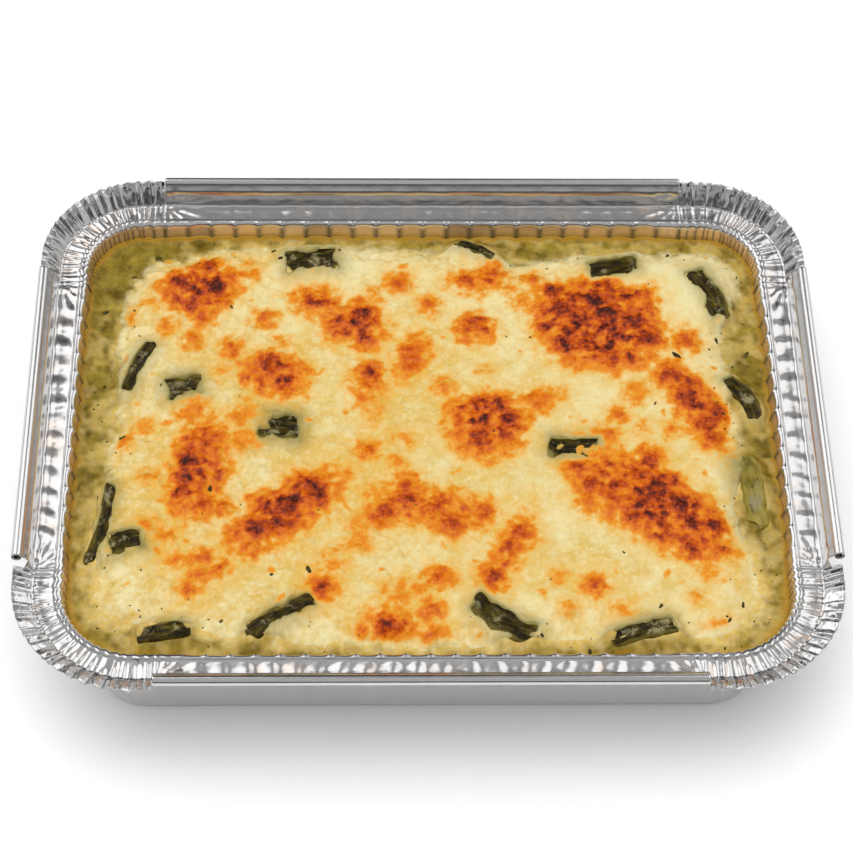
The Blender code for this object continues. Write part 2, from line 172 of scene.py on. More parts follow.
# Cheese that lies over a strip: middle x and y, half length, half width, turn in degrees
LAPS = (
    (-46.2, 5.2, 1.9, 4.2, 0), (37.9, -5.0, 1.6, 1.3, 25), (43.6, -6.6, 1.5, 1.7, 20),
    (48.0, -7.4, 3.6, 2.3, -32), (-65.7, 11.6, 2.2, 2.4, 0), (92.6, -14.4, 2.3, 5.0, 0),
    (59.6, -69.4, 4.0, 1.2, 11), (-31.6, 59.6, 4.6, 1.7, 10), (-82.2, -40.6, 2.0, 1.4, -12),
)

# The cheese is made on a square grid of this step, which starts this far in from the tray's outer line
CHEESE_GRID = 0.55
GRID_INSET = 14.5


def linear(code):
    """The linear colour of an sRGB hex value."""
    parts = [int(code[start:start + 2], 16) / 255 for start in (1, 3, 5)]
    return (*[part / 12.92 if part <= 0.04045 else ((part + 0.055) / 1.055) ** 2.4 for part in parts], 1.0)


def ease(low, high, value):
    """0 below low, 1 above high and a smooth rise between them."""
    share = np.clip((value - low) / (high - low), 0.0, 1.0)
    return share * share * (3 - 2 * share)


def lumps(x, y, size, seed=0):
    """Smooth noise from -1 to 1, with lumps about this many millimetres across."""
    u, v = x / size + 13.7 * seed, y / size - 7.3 * seed
    left, low = np.floor(u).astype(np.int64), np.floor(v).astype(np.int64)
    across, along = u - left, v - low
    ease_u = across * across * (3 - 2 * across)
    ease_v = along * along * (3 - 2 * along)

    def slope(step_u, step_v):
        mixed = ((left + step_u) * 374761393 + (low + step_v) * 668265263 + seed * 974711) & 0xffffffff
        mixed = ((mixed ^ (mixed >> 13)) * 1274126177) & 0xffffffff
        angle = (mixed ^ (mixed >> 16)) * (2 * math.pi / 2 ** 32)
        return np.cos(angle) * (across - step_u) + np.sin(angle) * (along - step_v)

    near = slope(0, 0) * (1 - ease_u) + slope(1, 0) * ease_u
    far = slope(0, 1) * (1 - ease_u) + slope(1, 1) * ease_u
    return 1.5 * (near * (1 - ease_v) + far * ease_v)


# Materials

def feed(tree, node, inputs):
    """Links a socket among the inputs to the node, and sets any other value on it."""
    for name, value in inputs.items():
        if isinstance(value, bpy.types.NodeSocket):
            tree.links.new(value, node.inputs[name])
        else:
            node.inputs[name].default_value = value


def add(tree, kind, inputs=None, stops=None, **settings):
    """Adds one node and feeds it its inputs; stops are a ramp's."""
    made = tree.nodes.new(kind)
    for name, value in settings.items():
        setattr(made, name, value)
    feed(tree, made, inputs or {})
    for index, (place, code) in enumerate(stops or ()):
        points = made.color_ramp.elements
        point = points[index] if index < 2 else points.new(place)
        point.position = place
        point.color = linear(code)
    return made


def new_material(name):
    """A material with an empty Principled shader, and its tree."""
    material = bpy.data.materials.new(name)
    material.use_nodes = True
    tree = material.node_tree
    return material, tree, tree.nodes["Principled BSDF"]


def pressed_aluminium(name, baked):
    """Thin soft-tempered aluminium foil, pressed cold: bright, with fine rolling lines and dents.

    Where it is baked, fat from the oven has dried on it as a golden film that hides some of the metal; the
    film is darker low down by the sauce and in the wall's creases, partly from the fat and partly as painted
    shade.
    """
    material, tree, shader = new_material(name)
    place = add(tree, "ShaderNodeTexCoord").outputs["Object"]
    # Dents about 2.5 mm across and a grain of about 0.6 mm, as the press leaves them
    dents = add(tree, "ShaderNodeTexNoise", {"Vector": place, "Scale": 1 / (2.5 * MM), "Detail": 2.0})
    grain = add(tree, "ShaderNodeTexNoise", {"Vector": place, "Scale": 1 / (0.6 * MM), "Detail": 3.0})
    dented = add(tree, "ShaderNodeBump", {"Height": dents.outputs[0], "Strength": 0.12, "Distance": 0.3 * MM})
    grained = add(tree, "ShaderNodeBump", {
        "Height": grain.outputs[0], "Strength": 0.06, "Distance": 0.1 * MM, "Normal": dented.outputs[0]})
    rough = add(tree, "ShaderNodeMapRange", {"Value": dents.outputs[0], "To Min": 0.12, "To Max": 0.26})
    feed(tree, shader, {"Metallic": 1.0, "Roughness": rough.outputs[0], "Normal": grained.outputs[0]})
    metal = linear("#D4D3D2")
    if not baked:
        feed(tree, shader, {"Base Color": metal})
        return material
    height = add(tree, "ShaderNodeSeparateXYZ", {"Vector": place}).outputs["Z"]
    drift = add(tree, "ShaderNodeTexNoise", {"Vector": place, "Scale": 1 / (9 * MM), "Detail": 3.0})
    wander = add(tree, "ShaderNodeMath", {0: drift.outputs[0], 1: 2.4 * MM}, operation="MULTIPLY")
    level = add(tree, "ShaderNodeMath", {0: height, 1: wander.outputs[0]}, operation="ADD")
    film = add(tree, "ShaderNodeMapRange", {"Value": level.outputs[0], "From Min": 43.0 * MM,
                                            "From Max": 41.6 * MM, "To Min": 0.0, "To Max": 0.92})
    # Painted shade: the fat is darkest low on the wall by the sauce and palest under the bead, partly from
    # baking and partly as painted shade
    tone = add(tree, "ShaderNodeMapRange", {
        "Value": level.outputs[0], "From Min": 37.4 * MM, "From Max": 42.5 * MM})
    fat_and_shade = add(tree, "ShaderNodeValToRGB", {"Fac": tone.outputs[0]}, stops=(
        (0.0, "#7E6A1C"), (1.0, "#EEC29A"), (0.22, "#C6A04A"), (0.55, "#E8C692")))
    # Painted shade: the fat is drawn darker in the wall's creases, partly as gathered fat and partly as shade
    crease_shade = add(tree, "ShaderNodeAttribute", attribute_name="crease_shade").outputs["Fac"]
    shaded_fat = add(tree, "ShaderNodeMix", {0: crease_shade, 6: fat_and_shade.outputs[0], 7: linear("#56481F")}, data_type="RGBA")
    colour = add(tree, "ShaderNodeMix", {0: film.outputs[0], 6: metal, 7: shaded_fat.outputs[2]},
                 data_type="RGBA")
    dull = add(tree, "ShaderNodeMapRange", {"Value": film.outputs[0], "To Min": 1.0, "To Max": 0.5})
    feed(tree, shader, {"Base Color": colour.outputs[2], "Metallic": dull.outputs[0]})
    return material


def green_cream(tree, place):
    """The colour of the cream stained by pepper juice: cloudy olive and pale yellow-green."""
    clouds = add(tree, "ShaderNodeTexNoise", {"Vector": place, "Scale": 1 / (5 * MM), "Detail": 7.0,
                                              "Roughness": 0.62})
    cloud = add(tree, "ShaderNodeMapRange", {"Value": clouds.outputs[0], "From Min": 0.34, "From Max": 0.68})
    return add(tree, "ShaderNodeMix", {0: cloud.outputs[0], 6: linear("#5C4B08"), 7: linear("#9E8832")},
               data_type="RGBA").outputs[2]


def cheese_cream(tree, place, butter):
    """The colour of the unbrowned cheese, from milky to buttery, mottled over 4 mm and flecked over 1 mm."""
    mottle = add(tree, "ShaderNodeTexNoise", {"Vector": place, "Scale": 1 / (4 * MM), "Detail": 6.0,
                                              "Roughness": 0.65})
    drift = add(tree, "ShaderNodeMapRange", {"Value": mottle.outputs[0], "From Min": 0.32, "From Max": 0.68,
                                             "To Min": -0.4, "To Max": 0.4})
    oily = add(tree, "ShaderNodeMath", {0: butter, 1: drift.outputs[0]}, operation="ADD", use_clamp=True)
    curd = add(tree, "ShaderNodeTexNoise", {"Vector": place, "Scale": 1 / (1.1 * MM), "Detail": 4.0})
    milky = add(tree, "ShaderNodeMapRange", {"Value": curd.outputs[0], "From Min": 0.48, "From Max": 0.7,
                                             "To Min": 0.0, "To Max": 0.36})
    pale = add(tree, "ShaderNodeMix", {0: oily.outputs[0], 6: linear("#E6D9A2"), 7: linear("#DAB75E")},
               data_type="RGBA")
    return add(tree, "ShaderNodeMix", {0: milky.outputs[0], 6: pale.outputs[2], 7: linear("#ECE3BE")},
               data_type="RGBA").outputs[2]


def baked_cheese():
    """Melted mozzarella and cream baked under a grill: moist, slightly see-through, oily where it is browned.

    Its browning runs from cream through gold and orange to dark red-brown as the milk sugars char.
    """
    material, tree, shader = new_material("baked_cheese")
    place = add(tree, "ShaderNodeTexCoord").outputs["Object"]
    browning, greenness, butter, veiled_and_shaded = (
        add(tree, "ShaderNodeAttribute", attribute_name=name).outputs["Fac"]
        for name in ("browning", "greenness", "butter", "veiled_and_shaded"))
    speckle = add(tree, "ShaderNodeTexNoise", {"Vector": place, "Scale": 1 / (1.0 * MM), "Detail": 3.0})
    shift = add(tree, "ShaderNodeMapRange", {"Value": speckle.outputs[0], "From Min": 0.3, "From Max": 0.7,
                                             "To Min": 0.78, "To Max": 1.22})
    toasted = add(tree, "ShaderNodeMath", {0: browning, 1: shift.outputs[0]}, operation="MULTIPLY")
    green = add(tree, "ShaderNodeMix", {0: greenness, 6: cheese_cream(tree, place, butter),
                                        7: green_cream(tree, place)}, data_type="RGBA")
    # Where the cheese is a thin film over a strip, the strip greys it; just beside a strip the cheese is
    # greyed a little as painted shade
    dimmed = add(tree, "ShaderNodeMix", {0: veiled_and_shaded, 6: green.outputs[2], 7: linear("#857E46")},
                 data_type="RGBA")
    crust = add(tree, "ShaderNodeValToRGB", {"Fac": toasted.outputs[0]}, stops=(
        (0.0, "#E4BE5E"), (1.0, "#3E1206"), (0.14, "#E6A932"), (0.28, "#E28B16"), (0.42, "#D66C04"),
        (0.58, "#BC4A02"), (0.74, "#923003"), (0.88, "#641B05")))
    amount = add(tree, "ShaderNodeMapRange", {"Value": toasted.outputs[0], "From Min": 0.0, "From Max": 0.24})
    colour = add(tree, "ShaderNodeMix", {0: amount.outputs[0], 6: dimmed.outputs[2], 7: crust.outputs[0]},
                 data_type="RGBA")
    oil = add(tree, "ShaderNodeTexNoise", {"Vector": place, "Scale": 1 / (4 * MM), "Detail": 3.0})
    rough = add(tree, "ShaderNodeMapRange", {"Value": oil.outputs[0], "From Min": 0.35, "From Max": 0.65,
                                             "To Min": 0.24, "To Max": 0.5})
    # Curd grain about 0.7 mm across
    grain = add(tree, "ShaderNodeTexNoise", {"Vector": place, "Scale": 1 / (0.7 * MM), "Detail": 4.0})
    skin = add(tree, "ShaderNodeBump", {"Height": grain.outputs[0], "Strength": 0.5, "Distance": 0.35 * MM})
    feed(tree, shader, {
        "Base Color": colour.outputs[2], "Roughness": rough.outputs[0], "Normal": skin.outputs[0],
        "Subsurface Weight": 0.15, "Subsurface Radius": (1.0, 0.6, 0.25), "Subsurface Scale": 1.6 * MM,
        "Specular IOR Level": 0.18, "IOR": 1.45})
    return material


def pepper_sauce():
    """Cream sauce with green pepper juice, baked in the tray: wet, yellow-green, golden at the foil."""
    material, tree, shader = new_material("pepper_sauce")
    place = add(tree, "ShaderNodeTexCoord").outputs["Object"]
    greenness, toasted = (add(tree, "ShaderNodeAttribute", attribute_name=name).outputs["Fac"]
                          for name in ("greenness", "toasted"))
    juice = add(tree, "ShaderNodeMix", {0: greenness, 6: cheese_cream(tree, place, 0.9),
                                        7: green_cream(tree, place)}, data_type="RGBA")
    baked = add(tree, "ShaderNodeMix", {0: toasted, 6: juice.outputs[2], 7: linear("#B2882A")},
                data_type="RGBA")
    grain = add(tree, "ShaderNodeTexNoise", {"Vector": place, "Scale": 1 / (1.3 * MM), "Detail": 3.0})
    skin = add(tree, "ShaderNodeBump", {"Height": grain.outputs[0], "Strength": 0.4, "Distance": 0.3 * MM})
    feed(tree, shader, {"Base Color": baked.outputs[2], "Roughness": 0.22, "Normal": skin.outputs[0],
                        "Specular IOR Level": 0.22, "IOR": 1.4})
    return material


def pepper_skin():
    """Roasted green pepper: waxy skin, nearly black at its rim and wrinkled, pale where its flesh is cut.

    A patchy grey film lies on the wrinkles: partly fat and cream, partly a painted sheen of the wet skin.
    """
    material, tree, shader = new_material("pepper_skin")
    place = add(tree, "ShaderNodeTexCoord").outputs["Object"]
    grain = add(tree, "ShaderNodeAttribute", attribute_name="grain").outputs["Vector"]
    veil, cut_side, drowned = (add(tree, "ShaderNodeAttribute", attribute_name=name).outputs["Fac"]
                               for name in ("veil", "cut_side", "drowned"))
    # Streaks about 1 mm wide and 4 mm long run along a strip
    tone = add(tree, "ShaderNodeTexNoise", {"Vector": grain, "Scale": 1.0, "Detail": 4.0})
    skin = add(tree, "ShaderNodeValToRGB", {"Fac": tone.outputs[0]}, stops=(
        (0.3, "#130F01"), (0.8, "#75661C"), (0.45, "#261E02"), (0.62, "#463A07")))
    flesh = add(tree, "ShaderNodeMix", {0: tone.outputs[0], 6: linear("#3A3005"), 7: linear("#857630")},
                data_type="RGBA")
    sides = add(tree, "ShaderNodeMix", {0: cut_side, 6: skin.outputs[0], 7: flesh.outputs[2]},
                data_type="RGBA")
    # Wrinkles about 2 mm across, and a grey film in patches of about 5 mm, which is partly cream and partly a
    # painted sheen of the wet skin
    wrinkles = add(tree, "ShaderNodeTexNoise", {"Vector": place, "Scale": 1 / (2.1 * MM), "Detail": 3.0,
                                                "Distortion": 1.0})
    patches = add(tree, "ShaderNodeTexNoise", {"Vector": place, "Scale": 1 / (5 * MM), "Detail": 1.0})
    sheen_and_film = add(tree, "ShaderNodeMath", {0: wrinkles.outputs[0], 1: patches.outputs[0]}, operation="ADD")
    sheen_and_film = add(tree, "ShaderNodeMath", {0: sheen_and_film.outputs[0], 1: veil}, operation="ADD")
    # Painted sheen: the grey film's colour stands for the wet skin's highlights as well as for the cream on
    # it
    film = add(tree, "ShaderNodeMapRange", {"Value": sheen_and_film.outputs[0], "From Min": 1.1, "From Max": 1.34,
                                            "To Min": 0.0, "To Max": 0.62})
    colour = add(tree, "ShaderNodeMix", {0: film.outputs[0], 6: sides.outputs[2], 7: linear("#AAA076")},
                 data_type="RGBA")
    # Sauce stands over a strip that lies deep, and its streaks show through
    streaks = add(tree, "ShaderNodeMapRange", {"Value": tone.outputs[0], "From Min": 0.35, "From Max": 0.65})
    murky = add(tree, "ShaderNodeMix", {0: streaks.outputs[0], 6: linear("#7A6A14"), 7: linear("#A89C4C")},
                data_type="RGBA")
    pooled = add(tree, "ShaderNodeMix", {0: 0.45, 6: murky.outputs[2], 7: green_cream(tree, place)},
                 data_type="RGBA")
    covered = add(tree, "ShaderNodeMix", {0: drowned, 6: colour.outputs[2], 7: pooled.outputs[2]},
                  data_type="RGBA")
    streaked = add(tree, "ShaderNodeBump", {"Height": tone.outputs[0], "Strength": 0.4, "Distance": 0.3 * MM})
    wrinkled = add(tree, "ShaderNodeBump", {"Height": wrinkles.outputs[0], "Strength": 0.7,
                                            "Distance": 0.6 * MM, "Normal": streaked.outputs[0]})
    feed(tree, shader, {"Base Color": covered.outputs[2], "Roughness": 0.2, "Normal": wrinkled.outputs[0],
                        "Specular IOR Level": 0.15})
    return material


def herb_leaf():
    """Chopped green herb and pepper scraps, dried dark in the oven."""
    material, tree, shader = new_material("herb_scrap")
    place = add(tree, "ShaderNodeTexCoord").outputs["Object"]
    tone = add(tree, "ShaderNodeTexNoise", {"Vector": place, "Scale": 1 / (6 * MM), "Detail": 1.0})
    colour = add(tree, "ShaderNodeValToRGB", {"Fac": tone.outputs[0]}, stops=(
        (0.35, "#241E05"), (0.65, "#524A10")))
    feed(tree, shader, {"Base Color": colour.outputs[0], "Roughness": 0.4, "Specular IOR Level": 0.25})
    return material


# Meshes

def new_piece(name, points, faces, material, slot, *nodes):
    """An object of these points, in millimetres, that stands for the named nodes in the tray's body."""
    mesh = bpy.data.meshes.new(name)
    mesh.from_pydata((np.asarray(points) * MM).tolist(), [], faces)
    mesh.shade_smooth()
    mesh.materials.append(material)
    made = bpy.data.objects.new(name, mesh)
    bpy.context.scene.collection.objects.link(made)
    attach(made, "root")
    if nodes:
        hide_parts(*nodes)
    return made


def mark(made, name, values):
    """Keeps one number for each point of a piece, for its material to read."""
    made.data.attributes.new(name, "FLOAT", "POINT").data.foreach_set("value", values.astype(np.float32))


def bands(columns, levels, skip=()):
    """Faces between the points of a closed ring of columns, level by level, but not across a skipped gap."""
    faces = []
    for level in range(levels - 1):
        for here in range(columns):
            after = (here + 1) % columns
            if (here, level) in skip:
                continue
            faces.append((level * columns + here, level * columns + after,
                          (level + 1) * columns + after, (level + 1) * columns + here))
    return faces


def tube(columns, levels):
    """Faces of a closed tube of rings: its bands, and both its ends."""
    faces = bands(columns, levels)
    faces.append(list(range(columns))[::-1])
    faces.append([(levels - 1) * columns + here for here in range(columns)])
    return faces


# The tray's plan

def corners():
    """Centre, radius and flange height of the four corners, anticlockwise from the far right one."""
    for right, far in ((1, 1), (-1, 1), (-1, -1), (1, -1)):
        radius = FAR_RADIUS if far > 0 else NEAR_RADIUS
        yield (np.array((right * (LENGTH / 2 - radius), far * (WIDTH / 2 - radius))), radius,
               FAR_FLANGE if far > 0 else NEAR_FLANGE)


def facing(angle):
    """The direction at this angle in the tray's plan, as its cosine and sine."""
    return np.array((math.cos(angle), math.sin(angle)))


FLUTE_STEPS = 12
PLEATS = 19
PLEAT_STEPS = 10


class Columns:
    """The columns of points round the tray, one value of each kind for each column."""

    def __init__(self):
        self.rows = []
        dice = np.random.default_rng(11)
        found = list(corners())
        for quarter, (centre, radius, flange) in enumerate(found):
            angle = quarter * math.pi / 2
            before, before_radius, _ = found[quarter - 1]
            along = facing(angle + math.pi / 2)
            start = before + facing(angle) * before_radius + along * HEM_SETBACK
            end = centre + facing(angle) * radius - along * HEM_SETBACK
            self.side(quarter, start, end, angle, LONG_FLUTES if quarter % 2 else SHORT_FLUTES, dice)
            self.corner(quarter, centre, radius, angle, flange, dice)
        names = ("x", "y", "nx", "ny", "corner", "quarter", "phase", "run", "left", "flange", "lift", "skew",
                 "reach")
        for index, name in enumerate(names):
            setattr(self, name, np.array([row[index] for row in self.rows], float))
        self.count = len(self.rows)

    def side(self, quarter, start, end, angle, flutes, dice):
        """A straight with its hem: 12 columns for each flute."""
        whole = np.linalg.norm(end - start)
        steps = flutes * FLUTE_STEPS
        chance = dice.uniform(0, 1, (flutes + 1, 3))
        for step in range(steps + 1):
            run = whole * step / steps
            spot = start + (end - start) * step / steps
            near = round(step / FLUTE_STEPS)
            self.rows.append((*spot, *facing(angle), 0, quarter, step / FLUTE_STEPS % 1.0, run,
                              whole - run, 0.0, *chance[near]))

    def corner(self, quarter, centre, radius, angle, flange, dice):
        """The stretch from one hem to the next, in pleats of uneven width."""
        arc = radius * math.pi / 2
        whole = arc + 2 * HEM_SETBACK - 2 * HEM_GAP
        widths = dice.uniform(0.6, 1.4, PLEATS)
        edges = np.concatenate(((0,), np.cumsum(widths))) / widths.sum() * whole
        chance = dice.uniform(0, 1, (PLEATS + 1, 3))
        for pleat in range(PLEATS):
            for step in range(PLEAT_STEPS + (pleat == PLEATS - 1)):
                share = step / PLEAT_STEPS
                run = edges[pleat] + (edges[pleat + 1] - edges[pleat]) * share
                place = run + HEM_GAP - HEM_SETBACK
                turned = angle + min(max(place, 0.0), arc) / radius
                beyond = min(place, 0.0) + max(place - arc, 0.0)
                spot = centre + facing(turned) * radius + facing(turned + math.pi / 2) * beyond
                self.rows.append((*spot, *facing(turned), 1, quarter, share, run, whole - run, flange,
                                  *chance[pleat]))

    def at(self, inset):
        """The columns' places this far in from the tray's outer line."""
        return self.x - self.nx * inset, self.y - self.ny * inset


def wall_inset(height):
    """Inset of the wall's outer face between the base's edge and the bead."""
    return WALL_INSET + WALL_TAPER * (LEDGE_HEIGHT - BEAD_DROP - height)


BASE_LEVELS = 5
WALL_LEVELS = 8


def tray_levels():
    """Levels of the sheet from the base to its outer edge, for a straight and for a corner.

    Each row is the name of its zone, how far through that zone it lies, and its inset and height.
    """
    foot = wall_inset(BASE_EDGE)
    rows = []
    for share in np.linspace(0, 1, BASE_LEVELS):
        turn = share * math.pi / 2
        inset = foot + BASE_EDGE * (1 - math.sin(turn))
        rows.append(("base", share, inset, BASE_EDGE * (1 - math.cos(turn))))
    for share in np.linspace(0, 1, WALL_LEVELS + 1)[1:]:
        height = BASE_EDGE + (WALL_TOP - BASE_EDGE) * share
        rows.append(("wall", share, wall_inset(height), height))
    for share in np.linspace(0, 1, 9)[1:]:
        turn = share * math.pi
        inset = WALL_INSET - BEAD_WIDTH * (1 - math.cos(turn)) / 2
        rise = BEAD_HEIGHT * math.sin(turn) + (1 - share) * -0.9
        rows.append(("bead", share, inset, LEDGE_HEIGHT + max(rise, -BEAD_DROP)))
    for share in np.linspace(0, 1, 9)[1:]:
        inset = WALL_INSET - BEAD_WIDTH - 0.2 + (FOLD_INSET + 0.3 - WALL_INSET + BEAD_WIDTH + 0.2) * share
        rows.append(("ledge", share, inset, LEDGE_HEIGHT - 0.25 * math.sin(share * math.pi)))
    return rows


UPSTAND_STEPS = 8
ROLL_STEPS = 12
FOIL = 0.12
ROLL_MIDDLE = HEIGHT - 1.85
ROLL_RISE = 1.25
ROLL_TURN = 330
# How far in from the fold the fans of creases reach, which is about the width of the ledge
FAN_DEPTH = 7.0


def flare(share, flange):
    """Inset and height of a corner's flange, from the fold to its edge."""
    rise = flange - LEDGE_HEIGHT - 0.5
    return FOLD_INSET - (FOLD_INSET - 0.3) * share, FOLD_HEIGHT + rise * (1 - (1 - share) ** 1.35)


def upstand(share, corner, flange):
    """Inset and height of the upstand of a straight, or of the inner part of a corner's flange."""
    if corner:
        return flare(FLANGE_SPLIT * share, flange)
    out = 1.0 * share + (FOLD_INSET - HEM_WIDTH - 1.0) * max(0.0, 4 * share - 3) ** 2
    return FOLD_INSET - out, FOLD_HEIGHT + (ROLL_MIDDLE - FOLD_HEIGHT) * share


def roll(share, corner, flange):
    """Inset and height round the hem's roll, or of the outer part of a corner's flange."""
    if corner:
        return flare(FLANGE_SPLIT + (1 - FLANGE_SPLIT) * share, flange)
    turn = math.radians(180 - ROLL_TURN * share)
    return HEM_WIDTH / 2 - (HEM_WIDTH / 2 - FOIL) * math.cos(turn), ROLL_MIDDLE + ROLL_RISE * math.sin(turn)


def tray_points(columns):
    """The outer face of the pressed sheet: arrays of inset and height for each level and column."""
    insets, heights = [], []
    straight = columns.corner == 0
    ends = np.minimum(columns.run, columns.left)
    # How far a column is along its hem, from 0 at the hem's end to 1 well inside
    inside = np.where(straight, ease(0, HEM_FADE, ends), 0.0)
    crown = np.abs(np.sin(np.pi * columns.phase)) ** 0.7
    cusp = np.exp(-(np.minimum(columns.phase, 1 - columns.phase) / (0.05 + 0.06 * columns.skew)) ** 2)
    flute = crown * inside
    # A pleat's ridge lies off its middle, more or less by chance
    ridge = 0.35 + 0.3 * columns.skew
    saw = np.where(columns.phase < ridge, columns.phase / ridge,
                   (1 - columns.phase) / (0.65 - 0.3 * columns.skew))
    pleat = np.where(straight, 0.0, (saw - 0.5) * (0.6 + 0.8 * columns.lift))
    # Each of a corner's pleats has a groove in the ledge
    groove = np.clip(1 - np.abs(columns.phase - 0.5) / (0.16 + 0.2 * columns.skew), 0, 1) ** 0.8
    groove *= np.where(straight, 0, 0.3 + 0.4 * columns.lift)
    far_side = (columns.quarter == 1) & straight
    # The corners' pleats die out over the first stretch of each straight
    tail = (2 * np.abs(ends / 2.9 % 1.0 - 0.5) - 0.5) * 0.9 * ease(9, 0, ends)
    crease = np.where(straight, tail, pleat)
    along = np.cumsum(np.hypot(np.diff(columns.x, prepend=columns.x[-1]),
                               np.diff(columns.y, prepend=columns.y[-1])))

    def crumple(size, level, seed):
        return lumps(along, np.full(columns.count, level), size, seed)

    def ripple(share):
        slid = (columns.phase + share * (0.15 + 0.5 * crumple(22.0, 0.0, 12))) % 1.0
        return ease(0, 1, np.where(slid < 0.62, slid / 0.62, (1 - slid) / 0.38)) - 0.5

    for zone, share, inset, height in tray_levels():
        across = np.full(columns.count, inset)
        up = np.full(columns.count, height)
        if zone == "wall":
            across -= FLUTE_DEPTH * flute * ease(0, 0.08, share) + 0.5 * crease * (0.3 + 0.7 * share)
        elif zone == "bead":
            kept = (1 - share) ** 1.5
            across -= FLUTE_DEPTH * flute * kept + 0.5 * crease * (1 - 0.5 * share)
            up += 0.22 * cusp * inside * math.sin(share * math.pi) + 0.3 * crease * share
        elif zone == "ledge":
            reach = np.clip(1.7 - share / (0.8 + 0.35 * crumple(7.0, 2.0, 14)), 0, 1)
            depth = 0.34 + 0.14 * crumple(9.0, 1.0, 13)
            up += depth * ripple(share) * reach * inside * np.where(far_side, 0.4, 1)
            # Each groove runs in from the fold, some the whole way, and a few start at the bead
            up -= groove * np.maximum(ease(0, 0.35, share - 1 + 1.35 * columns.reach),
                                      0.7 * ease(0.5, 0.1, share) * (columns.skew > 0.4))
            up += 0.25 * crease
            up += 0.1 * crumple(4.0, inset, 3) + 0.05 * crumple(1.6, 2 * inset, 9)
            # A fan of creases spreads over the ledge from the end of each hem
            angle = np.arctan2((1 - share) * FAN_DEPTH, np.maximum(ends, 0.01))
            fan = 2 * np.abs(angle * 2.6 % 1.0 - 0.5) - 0.5
            spread = np.hypot(ends, (1 - share) * FAN_DEPTH)
            up += np.where(straight, 0.55 * fan * ease(17, 5, spread), 0.0)
            if share > 0.8:
                up -= 0.18
        insets.append(across)
        heights.append(up)
    for share in np.linspace(0, 1, UPSTAND_STEPS + 1):
        pairs = [upstand(share, corner, flange) for corner, flange in zip(columns.corner, columns.flange)]
        across, up = (np.array(part) for part in zip(*pairs))
        up += pleat * (0.45 + 0.35 * share)
        up += np.where(straight, 0.0, (0.16 * crumple(1.7, share * 3, 8) + 0.1 * crumple(0.9, share * 4, 10))
                       * min(1, 3 * share))
        broad = crumple(5.0, share * 8, 5)
        sharp = 0.1 * broad + 0.35 * crumple(2.6, share * 6, 6)
        bent = math.sin(share * math.pi) * (0.12 * broad + sharp * ease(15, 2, ends))
        across += np.where(straight, bent, 0)
        if share == 0:
            up += np.where(straight, 0, 0.12)
        insets.append(across)
        heights.append(up)
    for share in np.linspace(0, 1, ROLL_STEPS + 1)[1:]:
        pairs = [roll(share, corner, flange) for corner, flange in zip(columns.corner, columns.flange)]
        across, up = (np.array(part) for part in zip(*pairs))
        up += pleat * (0.8 + 0.2 * share)
        frill = 0.16 * crumple(1.7, 3 + share * 2, 8) + 0.1 * crumple(0.9, 4 + share * 3, 10)
        up += np.where(straight, 0.0, frill)
        across = np.where(straight, across, np.maximum(across + 0.15 * pleat, 0.2))
        insets.append(across)
        heights.append(up)
    return np.array(insets), np.array(heights)


def foil_tray(columns):
    """The pressed foil tray, one sheet from its base to its hems and flanges."""
    insets, heights = tray_points(columns)
    levels = len(insets)
    points = np.stack((*columns.at(insets), np.maximum(heights, 0.0)), axis=-1).reshape(-1, 3)
    # The hem's roll and the flange's lip are apart, so that the roll ends in an open tube
    torn = [here for here in range(columns.count)
            if columns.corner[here] != columns.corner[(here + 1) % columns.count]]
    skip = {(here, level) for here in torn for level in range(levels - ROLL_STEPS - 3, levels)}
    faces = bands(columns.count, levels, skip)
    faces.append(list(range(columns.count))[::-1])
    bright = pressed_aluminium("pressed_aluminium", False)
    tray = new_piece("foil_tray", points, faces, bright, "foil", "tray")
    tray.data.materials.append(pressed_aluminium("baked_on_aluminium", True))
    # Painted shade in the creases of the wall, where fat also gathers
    crease = np.exp(-(np.minimum(columns.phase, 1 - columns.phase) / 0.12) ** 2)
    mark(tray, "crease_shade", np.tile(0.9 * crease, levels))
    sheet = tray.modifiers.new("Foil", "SOLIDIFY")
    sheet.thickness = FOIL * MM
    sheet.offset = -1.0
    sheet.material_offset = 1


# The food

